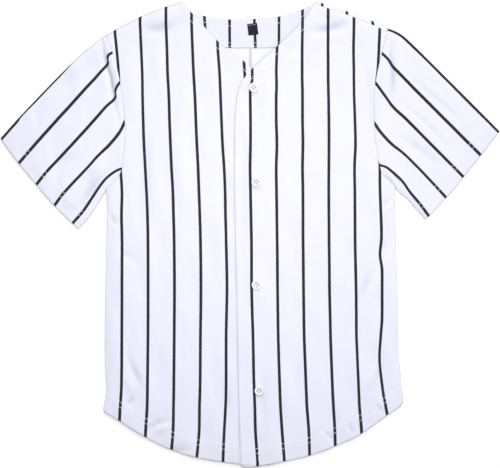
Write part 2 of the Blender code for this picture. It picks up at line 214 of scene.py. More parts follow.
# Where the stripes of a panel cross some of its heights, from right to left
StripeRow = namedtuple("StripeRow", "y x")
STRIPES = {
    "right": [
        StripeRow(336, (-217.5, -176, -134.5, -93.5, -52.8, -11)),
        StripeRow(298, (-213.6, -174.2, -133, -92, -51.7, -10.5)),
        StripeRow(259, (-210.2, -172.6, -132, -90.4, -48.8, -8.8)),
        StripeRow(221, (-209.6, -172, -129.9, -88.2, -47.2, -6)),
        StripeRow(182, (-210, -171, -128.8, -86.6, -45.6, -5)),
        StripeRow(144, (-209.6, -169.8, -127.2, -85, -44, -3)),
        StripeRow(106, (-207.2, -167.7, -125.6, -83, -41.4, -1)),
        StripeRow(67, (-204.8, -165.6, -123.4, -81.6, -39.8, 1)),
        StripeRow(29, (-205.6, -164, -122.4, -80.2, -39.2, 2)),
        StripeRow(-10, (-204.8, -163.2, -121.4, -79.2, -38.2, 3)),
        StripeRow(-86, (-204.8, -163, -120.8, -78.4, -36.8, 4)),
        StripeRow(-163, (-205.1, -163.2, -121.3, -79.2, -38.2, 3)),
        StripeRow(-240, (-205.6, -164, -121.8, -79.8, -38.2, 3)),
        StripeRow(-278, (-207.8, -164.6, -122.4, -80.8, -39.2, 2)),
        StripeRow(-317, (-209.6, -167.2, -123.2, -81.4, -41.4, 0)),
        StripeRow(-362, (-211, -168.8, -127.2, -85.6, -43.2, -2)),
    ],
    "left": [
        StripeRow(336, (3, 46.2, 84, 125, 166.4, 208)),
        StripeRow(298, (3, 43.4, 83.4, 124.8, 165.6, 206.2)),
        StripeRow(264, (3.5, 42, 83.4, 125, 166.2, 204.4)),
        StripeRow(248, (3.6, 42.2, 83.4, 125, 166.3, 202.6)),
        StripeRow(232, (1, 42.4, 83.8, 125.3, 166.5, 202)),
        StripeRow(221, (0.3, 41.8, 84, 125.6, 166.6, 203)),
        StripeRow(182, (0.8, 41.9, 84, 126.2, 168, 206)),
        StripeRow(144, (0.8, 43, 84.6, 126.4, 168.8, 208)),
        StripeRow(106, (0.2, 41.9, 84, 126.2, 167.2, 207.8)),
        StripeRow(67, (0.8, 42.4, 84.6, 126, 167.8, 208)),
        StripeRow(0, (2.2, 43.2, 84.8, 126.4, 168, 210.4)),
        StripeRow(-32, (2.5, 43.6, 85.1, 126.7, 168.5, 208)),
        StripeRow(-55, (2.5, 43.8, 85.3, 127, 169, 211)),
        StripeRow(-86, (2.6, 44, 85.6, 127.2, 169.6, 211.3)),
        StripeRow(-133, (3.8, 44.6, 86.2, 128.2, 170.1, 211.2)),
        StripeRow(-163, (4.8, 45, 86.6, 128.8, 170.4, 209)),
        StripeRow(-197, (5.4, 46, 87.8, 130, 171.8, 206.9)),
        StripeRow(-224, (5.9, 46.8, 88.9, 131, 173, 209.1)),
        StripeRow(-256, (6.9, 47.9, 90.2, 132.4, 174.3, 213.3)),
        StripeRow(-278, (7.8, 48.8, 91.2, 133.6, 175.2, 217.6)),
        StripeRow(-317, (8.8, 51.4, 94.2, 135.8, 178.4, 224)),
        StripeRow(-362, (12, 55, 95.4, 137, 180, 223)),
    ],
    "back": [
        StripeRow(375, (-115.6, -77, -38.2, 0.6, 39.6, 77.6, 115.4, 154, 193)),
        StripeRow(340, (-116.4, -77.6, -38.6, 0.6, 39.8, 78.2, 116.6, 156, 196)),
        StripeRow(300, (-120.4, -80.2, -39.8, 0.6, 41, 81, 121, 161.5, 202.3)),
        StripeRow(260, (-124.2, -82.6, -41, 0.6, 42.2, 83.8, 125.4, 167, 208.6)),
        StripeRow(200, (-124.8, -83.2, -41.4, 0.6, 42.2, 83.8, 125.4, 167, 208.6)),
        StripeRow(80, (-124.2, -82.6, -41, 0.6, 42.4, 84.2, 126, 167.4, 208.8)),
        StripeRow(-140, (-123.8, -82.4, -40.6, 0.9, 42.4, 84, 125.6, 167, 208.6)),
        StripeRow(-370, (-124.2, -82.6, -41, 0.6, 42.2, 83.8, 125.4, 167, 208.6)),
    ],
    "facing": [
        StripeRow(352, (-73.4, -32.8, 6.6, 46.6, 84)),
        StripeRow(296, (-69, -32.6, 9, 46.2, 84.6)),
    ],
}

# The stripes of the sleeves, the first on the folded edge
SLEEVE_STRIPES = {
    "right": [
        places((-231, 330), (-258, 309), (-292, 268), (-335, 222.6), (-366, 190.5), (-373, 180.4),
               (-380, 172.4), (-400, 150)),
        places((-213, 293), (-220.5, 290), (-226.5, 286), (-228, 281.5), (-226.4, 275.5),
               (-229, 269.5), (-240.8, 256.4), (-257.6, 238.6), (-274.7, 219.6), (-309.6, 181.2),
               (-342.9, 144), (-367.4, 116)),
        places((-203, 249), (-208, 243.5), (-214, 234.5), (-215.8, 227.2), (-214.7, 220.5),
               (-219.5, 213), (-230.2, 203.6), (-249.1, 182.4), (-283.8, 144), (-320, 105.6),
               (-340, 81.6)),
        places((-193, 192), (-200.3, 180.8), (-208.6, 163.2), (-224, 144), (-243.2, 124.8),
               (-260.2, 105.6), (-296.5, 67.2), (-311.4, 47.5)),
        places((-192, 108), (-204.2, 105.1), (-214.3, 101.1), (-227.5, 91.8), (-238.1, 79.9),
               (-251.4, 60), (-267.4, 36.1), (-286, 14.9)),
    ],
    "left": [
        places((219.8, 327.6), (239.4, 318.8), (260.8, 300.2), (300, 262), (337, 224.6),
               (375.2, 186.4), (398.6, 163.2)),
        places((204, 297), (211.2, 288.8), (221.8, 278.4), (230.4, 265.6), (255.2, 240),
               (293.4, 201.6), (331.8, 163.2), (369.1, 125.8)),
        places((190, 256), (202.4, 240), (216, 220.8), (230.4, 201.6), (251.2, 182.4), (289, 144),
               (327.2, 105.6), (341.4, 91.5)),
        places((190, 192), (199.5, 177.6), (208.8, 163.2), (226.2, 144), (249.8, 124.8),
               (287.5, 86.4), (314.1, 57.9)),
        places((196, 116), (207.8, 110.4), (220.2, 105.6), (242.2, 86.4), (256.2, 67.2), (272, 48),
               (287, 27.8)),
    ],
}
SLEEVE_RUN = {"right": (-0.645, -0.764), "left": (0.7, -0.714)}

# Large folds of the front, which the solids have too: ridges are above 0 and troughs below
CREASES = [
    Crease(-112, 215, -110, 30, 15, 0.8),
    Crease(-60, 150, -52, -60, 15, 0.7),
    Crease(-165, 190, -160, -120, 12, 0.6),
    Crease(75, 190, 82, -60, 17, 0.7),
    Crease(150, 160, 155, -140, 14, 0.6),
]

# Smaller folds, each along a curve; the shade column scales the painted shade in each trough
Fold = namedtuple("Fold", "width height points shade", defaults=[1])
FOLDS = [
    # The shoulders
    Fold(12, -1.9, places((-186, 338), (-156, 330), (-126, 335), (-108, 346))),
    Fold(9, 1.1, places((-190, 320), (-150, 313), (-112, 320))),
    Fold(9, -0.5, places((-120, 352), (-108, 338), (-96, 330))),
    Fold(8, -2.1, places((84, 323), (104, 327), (128, 330), (152, 337), (172, 341)), 0.95),
    Fold(5, -1.1, places((112, 350), (124, 346), (135, 341))),
    Fold(8, 0.9, places((80, 306), (128, 314), (184, 322))),
    Fold(9, -1.1, places((48, 292), (64, 300), (82, 304))),
    # The right sleeve along its armhole
    Fold(3.6, -2.3, places((-241, 338), (-236.5, 314), (-234, 300), (-231, 278), (-222.4, 254),
                           (-219, 230), (-215, 206), (-209.6, 184), (-205, 168)), 1.35),
    Fold(4.0, 1.2, places((-224, 304), (-220, 282), (-212.5, 256), (-208, 225))),
    Fold(7, 1.0, places((-248, 300), (-243, 275), (-234, 245), (-227, 210))),
    # The rest of the right sleeve
    Fold(12, -0.8, places((-322, 228), (-290, 250), (-262, 280))),
    Fold(12, 1.3, places((-298, 200), (-269, 227), (-246, 246))),
    Fold(9, -0.9, places((-326, 112), (-298, 120), (-266, 124))),
    Fold(10, -1.7, places((-280, 28), (-262, 62), (-242, 86), (-214, 104)), 0.9),
    Fold(9, 0.8, places((-272, 92), (-242, 108), (-220, 120))),
    Fold(8, -1.1, places((-300, 30), (-288, 40), (-270, 44)), 0.6),
    Fold(9, 0.9, places((-352, 142), (-318, 172), (-290, 196))),
    # The left sleeve along its armhole
    Fold(5, -2.1, places((233, 322), (226, 296), (225.5, 275), (229, 254), (227, 228), (223, 200))),
    Fold(5, 1.4, places((217, 302), (213.5, 270), (213, 232), (215, 200))),
    Fold(9, 1.4, places((244, 300), (240, 272), (241, 236))),
    # The rest of the left sleeve
    Fold(3.2, -0.9, places((237, 269), (272, 237), (312, 203), (352, 165))),
    Fold(5, 0.6, places((246, 272), (280, 243), (320, 209), (358, 174))),
    Fold(3.4, -0.9, places((234, 214), (260, 196), (291, 166), (323, 131))),
    Fold(5, 0.6, places((240, 222), (268, 202), (299, 173), (330, 139))),
    Fold(7, -1.3, places((224, 154), (248, 150), (272, 136), (296, 112), (290, 92))),
    Fold(8, 0.9, places((240, 130), (262, 118), (276, 98))),
    Fold(2.6, 1.6, places((214, 104), (225, 92), (233, 78))),
    Fold(2.6, -1.6, places((209, 96), (221, 88), (229, 80))),
    Fold(2.4, 1.4, places((222, 106), (236, 98), (247, 84))),
    Fold(2.4, -1.4, places((217, 99), (231, 91), (240, 78))),
    # The body's right side
    Fold(10, -1.1, places((-166, 214), (-163, 110), (-160, 0))),
    Fold(4, -1.4, places((-225, 34), (-219, 22), (-212, 12))),
    Fold(5, 0.5, places((-222, 22), (-212, 6), (-200, -6))),
    Fold(5, -0.9, places((-214, -20), (-199, -34), (-180, -46))),
    Fold(6, 0.5, places((-213, -33), (-198, -48), (-180, -58))),
    Fold(5, -1.6, places((-196, -196), (-184, -222), (-170, -250))),
    Fold(6.5, 1.2, places((-206, -212), (-196, -238), (-184, -260))),
    Fold(4, -1.8, places((-200, -276), (-192, -268), (-184, -258))),
    Fold(4, -1.6, places((-168, -320), (-152, -304), (-128, -298))),
    Fold(5, 1.3, places((-160, -326), (-142, -312), (-118, -307))),
    Fold(5, -1.6, places((-135, -340), (-117, -346), (-98, -344))),
    Fold(8, -1.1, places((-40, -240), (-36, -262), (-38, -290))),
    Fold(7, 0.9, places((-66, -300), (-62, -262), (-66, -220))),
    # The body's left side
    Fold(9, -1.1, places((187, 300), (194, 220), (199, 115))),
    Fold(14, 0.9, places((86, 240), (92, 180), (97, 110))),
    Fold(6, -1.4, places((198, -48), (186, -80), (171, -120))),
    Fold(9, 1.4, places((217, -46), (204, -82), (188, -120))),
    Fold(7, 1.6, places((205, -200), (195, -228), (185, -256))),
    Fold(5, -1.3, places((214, -190), (207, -220), (201, -246))),
    Fold(3.2, -1.4, places((200, -272), (208, -280), (215, -288))),
    Fold(3.2, -1.6, places((117, -314), (126, -322), (134, -332))),
    Fold(3, -1.4, places((155, -304), (161, -311), (166, -320))),
    Fold(4, -1.3, places((226, 60), (219, 52), (211, 40))),
    Fold(4, 1.1, places((228, 50), (220, 40), (212, 26))),
    Fold(5, -1.1, places((226, -4), (216, -18), (205, -40))),
    # Beside the placket
    Fold(9, -0.9, places((-10, 180), (-9, 60), (-6, -60))),
    Fold(7, -1.1, places((20, -210), (22, -260), (26, -330))),
    Fold(9, 0.9, places((52, -180), (58, -250), (62, -320))),
]

# Soft unevenness of the cloth all over, in waves of these lengths and heights
Wave = namedtuple("Wave", "across down phase lean height")
WAVES = [
    Wave(43, 310, 0.4, 0.08, 0.42),
    Wave(27, 190, 2.1, -0.11, 0.26),
    Wave(71, 150, 4.4, 0.19, 0.5),
    Wave(17, 95, 1.2, 0.05, 0.12),
]

# The form of a piece's cut size before sewing, as width, length and area in metres
Cut = namedtuple("Cut", "width length area")

FINE_STEP = 40
EVENING_STEPS = 6000
CELL = 2.5                # size of the cells that the cloth is divided into
NEAR = (0.8, 1.8, 3.0)    # closer columns along edges and seams
SHOULDER_POINTS = 40
OUTLINE_POINTS = 200
RUN_ON = 3                # how many spans long a curve runs on straight past its end

# How many straight spans stand for a curve where distances to it are measured
FOLD_SPANS = 10
SHORT_SPANS = 12
SLEEVE_SPANS = 20
FREE_SPANS = 24
LONG_SPANS = 30
FINE_SPANS = 40
SEAM_SPANS = 60

# A smaller fold's reach in widths, the height left at its ends and the length over which it fades
FOLD_REACH = 3
FOLD_END_HEIGHT = 0.25
FOLD_FADE = 0.45
WAVE_BEND = 6.0

# Studio, in metres and watts, but the lens and its sensor in millimetres
TABLE_HALF = 12.0
TABLE_DROP = 0.0004
TABLE_GLOW = 0.15
SKY = 0.425
Lamp = namedtuple("Lamp", "name place size power")
LAMPS = [
    Lamp("right_box", (4.7, 1.0, 2.2), 1.6, 48),
    Lamp("upper_box", (0.2, 4.6, 2.3), 1.6, 110),
    Lamp("top_light", (0.02, 0.13, 0.9), 0.5, 4.5),
]
AIM_SHARE = 0.02          # the lamps point near the jersey's middle, a little towards themselves
LENS = 100
SENSOR = 36
HALF_VIEW = 0.4           # half of the width that the camera sees at the jersey's front
VIEW_HEIGHT = 0.004


# Curves

def drawn(rows):
    """A smooth curve through a table's points, as an array of close points."""
    p = np.array(rows, float)
    p = np.vstack([2 * p[0] - p[1], p, 2 * p[-1] - p[-2]])
    spans = []
    for a, b, c, d in zip(p, p[1:], p[2:], p[3:]):
        t = np.linspace(0, 1, FINE_STEP, endpoint=False)[:, None]
        spans.append(0.5 * (2 * b + (c - a) * t + (2 * a - 5 * b + 4 * c - d) * t ** 2
                            + (3 * b - a - 3 * c + d) * t ** 3))
    return np.vstack([*spans, p[-2]])


def along(curve):
    return np.concatenate([[0], np.cumsum(np.linalg.norm(np.diff(curve, axis=0), axis=1))])


def length(curve):
    return along(curve)[-1]


def at(curve, distances):
    """The points at these distances along a curve."""
    run = along(curve)
    return np.stack([np.interp(distances, run, curve[:, k]) for k in range(curve.shape[1])], axis=1)


def shares(curve, count):
    return at(curve, np.linspace(0, length(curve), count + 1))


def joined(*curves):
    return np.vstack([curves[0], *(c[1:] for c in curves[1:])])


def clear_of(points, curve):
    """How far each point is from a curve."""
    a, d = curve[:-1], np.diff(curve, axis=0)
    size = np.maximum((d * d).sum(1), 1e-12)
    p = points.reshape(-1, 2)
    best = np.full(len(p), np.inf)
    for start, step, squared in zip(a, d, size):
        t = np.clip(((p - start) @ step) / squared, 0, 1)[:, None]
        best = np.minimum(best, np.linalg.norm(p - start - t * step, axis=1))
    return best.reshape(points.shape[:-1])


FOLDED_EDGES = [
    joined(shares(drawn(SHOULDER[s]), SHORT_SPANS), shares(drawn(SLEEVE_TOP[s]), SLEEVE_SPANS))
    for s in SHOULDER
] + [
    joined(shares(drawn(UNDERARM[s]), SHORT_SPANS)[::-1], shares(drawn(SIDE[s]), LONG_SPANS))
    for s in SIDE
]
FREE_EDGES = [shares(drawn(edge[s]), FREE_SPANS) for edge in (CUFF, HEM) for s in edge]
# The outline, along which a painted shadow line darkens the cloth
OUTLINE = FOLDED_EDGES + FREE_EDGES + [shares(drawn(BACK_NECK), LONG_SPANS)]

# The edges of the fronts where they lie on other cloth, along which a painted shadow line darkens the cloth
# on both sides
FRONT_EDGES = [shares(drawn(FRONT_NECK["right"])[2 * FINE_STEP:], LONG_SPANS),
               shares(drawn(FRONT_NECK["left"])[FINE_STEP:], LONG_SPANS),
               shares(drawn(FRONT_EDGE["left"])[FINE_STEP // 4:], FINE_SPANS)]


# Heights of the cloth's middle surface

def smooth_step(t):
    t = np.clip(t, 0, 1)
    return t * t * (3 - 2 * t)


def crease_height(points):
    """The folds' height at each point: soft ridges and troughs that fade towards both ends."""
    total = np.zeros(points.shape[:-1])
    for c in CREASES:
        start, end = np.array([c.x0, c.y0]), np.array([c.x1, c.y1])
        run = end - start
        t = ((points - start) @ run) / (run @ run)
        off = np.linalg.norm(points - start - np.clip(t, 0, 1)[..., None] * run, axis=-1)
        total += c.height * np.exp(-(off / c.half_width) ** 2) * (1 - np.clip(2 * t - 1, -1, 1) ** 4)
    return total


def fold_effect(points):
    """The smaller folds' height at each point, and how deep in a trough it is, which sets the painted shade
    there.
    """
    height, depth = np.zeros(points.shape[:-1]), np.zeros(points.shape[:-1])
    for fold in FOLDS:
        curve = shares(drawn(fold.points), FOLD_SPANS)
        reach = FOLD_REACH * fold.width
        low, high = curve.min(0) - reach, curve.max(0) + reach
        near = ((points > low) & (points < high)).all(-1)
        if near.any():
            spot = points[near]
            off = clear_of(spot, curve)
            ends = np.minimum(np.linalg.norm(spot - curve[0], axis=-1),
                              np.linalg.norm(spot - curve[-1], axis=-1))
            full = smooth_step(ends / (FOLD_FADE * length(curve)))
            fade = FOLD_END_HEIGHT + (1 - FOLD_END_HEIGHT) * full
            raised_by = fold.height * np.exp(-(off / fold.width) ** 2) * fade
            height[near] += raised_by
            depth[near] += fold.shade * np.maximum(-raised_by, 0)
    return height, depth


def wave_height(points):
    """The soft unevenness at each point."""
    x, y = points[..., 0], points[..., 1]
    total = np.zeros(points.shape[:-1])
    for w in WAVES:
        bend = WAVE_BEND * np.sin(y / w.down + 2 * w.phase)
        total += w.height * np.sin(2 * np.pi * (x + w.lean * y + bend) / w.across + w.phase) * (
            np.cos(2 * np.pi * y / w.down + 3 * w.phase))
    return total


def upper_height(points):
    """The layer that faces up: the fronts and the sleeves' front halves."""
    off = np.minimum.reduce([clear_of(points, edge) for edge in FOLDED_EDGES])
    hemmed = np.minimum.reduce([clear_of(points, edge) for edge in FREE_EDGES])
    risen = 1 - (1 - np.clip(off / EDGE_RISE, 0, 1)) ** 2
    rest = EDGE_REST * np.exp(-(hemmed / EDGE_REST_WIDTH) ** 2)
    folds = crease_height(points) + wave_height(points) - rest
    near_edge = 1 - (1 - np.clip(off / FOLD_RISE, 0, 1)) ** 2
    height = EDGE_MIDDLE + (RISE + folds) * risen + fold_effect(points)[0] * near_edge
    return np.maximum(height, lower_height(points) + CLOTH + REST_GAP)


def lower_height(points):
    """The layer that rests on the table, which a few shallow folds lift off it."""
    other = points * [-1, 1]
    folds = crease_height(other) + wave_height(other) + fold_effect(other)[0]
    off = np.minimum.reduce([clear_of(points, edge) for edge in FOLDED_EDGES + FREE_EDGES])
    clear = smooth_step(off / EDGE_RISE) * smooth_step((BACK_FOLDS_END - points[..., 1]) / BACK_FOLDS_FADE)
    return BACK_MIDDLE + np.clip(BACK_FOLD_SHARE * folds, 0, BACK_FOLD_HEIGHT) * clear


def overlap_height(points):
    """The front that lies on the other one at the button placket."""
    lift = OVERLAP_LIFT * (1 - smooth_step((points[..., 0] - OVERLAP_END) / OVERLAP_RUNOUT))
    return upper_height(points) + lift


# Seam points that two pieces share

def divided(size):
    """Distances along a size: close ones near both ends and even ones between them."""
    middle = np.linspace(NEAR[-1], size - NEAR[-1], max(2, round(size / CELL)))
    return np.array([0, *NEAR, *middle[1:-1], *(size - d for d in NEAR[::-1]), size])


def armhole_curve(side, back=False):
    curve = drawn(ARMHOLE[side])
    if back:
        outward = -1 if side == "right" else 1
        bow = np.sin(np.pi * along(curve) / length(curve)) ** 2
        curve = curve + np.outer(bow, [outward * BACK_ARMHOLE_STEP, 0])
    return curve


def shoulder_roll(side, distances):
    """Points on the shoulder fold, from the armhole on, and the way each rolls onto the front."""
    fold = drawn(SHOULDER[side])[::-1]
    seam, neck = armhole_curve(side)[::-1], drawn(FRONT_NECK[side])[::-1]
    reach = SHOULDER_ROLL[side]
    start = at(seam, [reach])[0] - seam[0]
    end = at(neck, [reach])[0] - neck[0]
    share = np.array(distances)[:, None] / length(fold)
    roll = start * (1 - share) + end * share
    return at(fold, distances), reach * roll / np.linalg.norm(roll, axis=1)[:, None]


# Grids

def patch(bottom, top, left, right, across):
    """A grid of points between four edges, blended from all of them."""
    run = [along(edge) / length(edge) for edge in (left, right)]
    t = ((run[0] + run[1]) / 2)[:, None, None]
    s = across[:, None]
    sides = (1 - s) * left[:, None] + s * right[:, None]
    bottom_bow = bottom - (1 - s) * left[0] - s * right[0]
    top_bow = top - (1 - s) * left[-1] - s * right[-1]
    return sides + (1 - t) * bottom_bow + t * top_bow


def evened(grid, s, t):
    """Lets the points inside a grid settle evenly between their neighbours, at their own shares."""
    s, t = s[None, :, None], t[:, None, None]
    by_row = (s[:, 1:-1] - s[:, :-2]) / (s[:, 2:] - s[:, :-2])
    by_column = (t[1:-1] - t[:-2]) / (t[2:] - t[:-2])
    for _ in range(EVENING_STEPS):
        in_row = (1 - by_row) * grid[1:-1, :-2] + by_row * grid[1:-1, 2:]
        in_column = (1 - by_column) * grid[:-2, 1:-1] + by_column * grid[2:, 1:-1]
        grid[1:-1, 1:-1] = (in_row + in_column) / 2
    return grid


def inset(flat, edge, step):
    """Moves one edge of a grid square inwards by a step, and what is close to it by less."""
    grid = {"left": flat, "right": flat[:, ::-1], "bottom": flat.swapaxes(0, 1),
            "top": flat[::-1].swapaxes(0, 1)}[edge]
    seam = grid[:, 0].copy()
    tangent = np.gradient(seam, axis=0)
    square = np.stack([-tangent[:, 1], tangent[:, 0]], axis=1)
    square /= np.linalg.norm(square, axis=1)[:, None]
    square *= np.sign(((grid[:, 6] - seam) * square).sum())
    step = np.broadcast_to(step, len(seam))[:, None]
    for column in range(1 + len(NEAR)):
        grid[:, column] += square * step * (1 - column / (2 + len(NEAR)))


def from_edge(flat, edge):
    """How far each point of a grid is from one of its edges, along its row or column."""
    axis = 1 if edge in ("left", "right") else 0
    steps = np.linalg.norm(np.diff(flat, axis=axis), axis=-1)
    zero = np.zeros_like(np.take(steps, [0], axis=axis))
    if edge in ("right", "top"):
        steps = np.flip(steps, axis)
    run = np.concatenate([zero, np.cumsum(steps, axis=axis)], axis=axis)
    return np.flip(run, axis) if edge in ("right", "top") else run


def raised(flat, heights):
    return np.concatenate([flat, heights[..., None]], axis=-1)


def stripe_places(points, rows):
    """The stripe coordinate of each point: a whole number in the middle of each stripe."""
    heights = np.array([row.y for row in rows], float)
    lines = [drawn([(row.y, row.x[k]) for row in rows])[::-1] for k in range(len(rows[0].x))]
    y = np.clip(points[..., 1], heights.min(), heights.max())
    x = np.stack([np.interp(y, line[:, 0], line[:, 1]) for line in lines], axis=-1)
    return between(points[..., 0], x)


def between(value, lines):
    """Where values lie between lines that are in rising order: 0 on the first, 1 on the second."""
    count = lines.shape[-1]
    below = (lines < value[..., None]).sum(-1)
    low = np.clip(below - 1, 0, count - 2)
    a = np.take_along_axis(lines, low[..., None], -1)[..., 0]
    b = np.take_along_axis(lines, low[..., None] + 1, -1)[..., 0]
    inside = low + (value - a) / (b - a)
    first, last = lines[..., 0], lines[..., -1]
    outside_low = (value - first) / STRIPE_PITCH
    outside_high = count - 1 + (value - last) / STRIPE_PITCH
    return np.where(value < first, outside_low, np.where(value > last, outside_high, inside))


def sleeve_stripe_places(points, side):
    """The same for a sleeve, whose stripes run down from the shoulder."""
    run = np.array(SLEEVE_RUN[side])
    cross = np.array([-run[1], run[0]]) * (1 if side == "right" else -1)
    a, b = points @ run, points @ cross
    lines = []
    for stripe in SLEEVE_STRIPES[side]:
        curve = drawn(stripe)
        lines.append(np.interp(a, curve @ run, curve @ cross))
    return between(b, np.stack(lines, axis=-1))


# Making the pieces

def cloth_piece(name, grid, thickness, materials, values, ring=False, keep=None, face_down=False,
                folded=False, outline=OUTLINE):
    """A shell of cloth from a grid of points; the second material is its wrong side."""
    mesh = bpy.data.meshes.new(name)
    rows, columns = grid.shape[:2]
    count = columns if ring else columns - 1
    faces = []
    for i in range(rows - 1):
        for j in range(count):
            if keep is None or keep(i, j):
                k = (j + 1) % columns
                face = (i * columns + j, i * columns + k, (i + 1) * columns + k, (i + 1) * columns + j)
                faces.append(face[::-1] if face_down else face)
    used = np.zeros(rows * columns, bool)
    used[np.unique(faces)] = True
    number = np.cumsum(used) - 1
    mesh.from_pydata((grid.reshape(-1, 3)[used] * MM).tolist(), [], number[np.array(faces)].tolist())
    flat = grid.reshape(-1, 3)[:, :2]
    # inside: the distance from the outline, which sets the painted shadow line along it
    values = {**values, "inside": np.minimum.reduce([clear_of(flat, edge) for edge in outline])}
    # trough: how deep the upper layer lies in a fold's trough, which sets the painted shade there
    if folded:
        values["trough"] = fold_effect(flat)[1] * (grid.reshape(-1, 3)[:, 2] > UPPER_LAYER)
    for key, value in values.items():
        layer = mesh.attributes.new(key, "FLOAT", "POINT")
        layer.data.foreach_set("value", value.reshape(-1)[used].astype(np.float32))
    for material in materials:
        mesh.materials.append(material)
    mesh.shade_smooth()
    body = bpy.data.objects.new(name, mesh)
    bpy.context.scene.collection.objects.link(body)
    wall = body.modifiers.new("wall", "SOLIDIFY")
    wall.thickness = thickness * MM
    wall.offset = 0
    if len(materials) > 1:
        wall.material_offset = 1
        wall.material_offset_rim = 1
    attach(body, "root")
    return body


def thread_bars(name, paths, material, width=STITCH_WIDTH, height=STITCH_HEIGHT, step=STITCH_STEP,
                stitch=STITCH_LENGTH):
    """Rows of stitches: a small rounded bar for each, along paths on the cloth's surface."""
    ring = STITCH_RING * (width, height)
    verts, faces = [], []
    for path in paths:
        size = length(path)
        middles = np.arange(step / 2, size - step / 2, step)
        for here, ahead in zip(at(path, middles), at(path, middles + 0.5)):
            forward = (ahead - here) / max(np.linalg.norm(ahead - here), 1e-9)
            sideways = np.array([-forward[1], forward[0], 0])
            first = len(verts)
            for where, scale, sink in STITCH_SECTIONS:
                for across, up in ring:
                    verts.append(here + forward * where * stitch + sideways * across * scale
                                 + np.array([0, 0, up * scale + sink]))
            for s in range(3):
                for k in range(3):
                    a = first + s * 4 + k
                    faces.append((a, a + 1, a + 5, a + 4))
    mesh = bpy.data.meshes.new(name)
    mesh.from_pydata((np.array(verts) * MM).tolist(), [], faces)
    mesh.materials.append(material)
    mesh.shade_smooth()
    body = bpy.data.objects.new(name, mesh)
    bpy.context.scene.collection.objects.link(body)
    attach(body, "root")
    return body


def row_path(grid, edge, distance, thickness=CLOTH):
    """A path on the top of a grid, at a distance from one of its edges."""
    run = from_edge(grid, edge)
    lines, runs = (grid, run) if edge in ("left", "right") else (grid.swapaxes(0, 1), run.T)
    points = []
    for line, reach in zip(lines, runs):
        order = np.argsort(reach)
        points.append([np.interp(distance, reach[order], line[order, k]) for k in range(3)])
    return np.array(points) + [0, 0, thickness / 2]


def dipped(distance, dip):
    """How the height changes at a distance from an edge or a seam."""
    return -dip.depth * np.exp(-(distance / dip.width) ** 2)


def turned(distance, rows):
    """How much the turned hem adds at a distance from the edge."""
    return TURNED_LAYER * (1 - smooth_step((distance - rows[1]) / TURNED_FADE))


def run_on(end, before):
    """A point straight past the end of a curve."""
    return end + RUN_ON * (end - before)


def front(side, height, materials):
    """A front, from its side seam and armhole to its front edge and neckline."""
    side_run, armhole = drawn(SIDE[side])[::-1], armhole_curve(side)
    arm_length = length(armhole) - SHOULDER_ROLL[side]
    outer_curve = joined(side_run, at(armhole, np.linspace(0, arm_length, OUTLINE_POINTS)))
    fold, roll = shoulder_roll(side, np.linspace(0, length(drawn(SHOULDER[side])), SHOULDER_POINTS))
    top_line = fold + roll
    neck = drawn(FRONT_NECK[side])
    neck_part = at(neck, np.linspace(0, length(neck) - SHOULDER_ROLL[side], OUTLINE_POINTS))
    neck_part[-1] = top_line[-1]
    inner_curve = joined(drawn(FRONT_EDGE[side]), neck_part)
    steps = divided(length(outer_curve)) / length(outer_curve)
    outer = at(outer_curve, steps * length(outer_curve))
    inner = at(inner_curve, steps * length(inner_curve))
    hem = drawn(HEM[side])
    across = divided(length(hem)) / length(hem)
    bottom, top = at(hem, across * length(hem)), at(top_line, across * length(top_line))
    flat = patch(bottom, top, outer, inner, across)
    heights = height(flat)
    off_seam = clear_of(flat, shares(armhole, SEAM_SPANS))
    off_top = clear_of(flat, top_line)
    off_inner = from_edge(flat, "right")
    off_hem = from_edge(flat, "bottom")
    heights += dipped(off_seam, ARMHOLE_DIP) + dipped(off_top, SHOULDER_DIP)
    heights += dipped(off_inner, EDGE_DIP) + dipped(off_hem, EDGE_DIP)
    heights += turned(off_hem, HEM_ROWS)
    stripes = stripe_places(flat, STRIPES[side])
    armhole_rows = steps > length(side_run) / length(outer_curve)
    inset(flat, "left", np.where(armhole_rows, SEAM_GAP / 2, 0))
    inset(flat, "top", SEAM_GAP / 2)
    grid = raised(flat, heights)
    edge = drawn(FRONT_EDGE[side])
    front_line = np.vstack([shares(edge, FINE_SPANS), run_on(edge[-1:], edge[-FINE_STEP])])
    neck_line = np.vstack([run_on(neck[:1], neck[FINE_STEP]), shares(neck, FINE_SPANS)])
    values = {"stripe": stripes, "from_hem": off_hem, "from_front": clear_of(flat, front_line),
              "from_neck": clear_of(flat, neck_line)}
    order = slice(None, None, -1 if side == "left" else 1)
    values = {key: value[:, order] for key, value in values.items()}
    body = cloth_piece(f"front_{side}_cloth", grid[:, order], CLOTH, materials, values, folded=True,
                       outline=OUTLINE + FRONT_EDGES)
    return body, grid


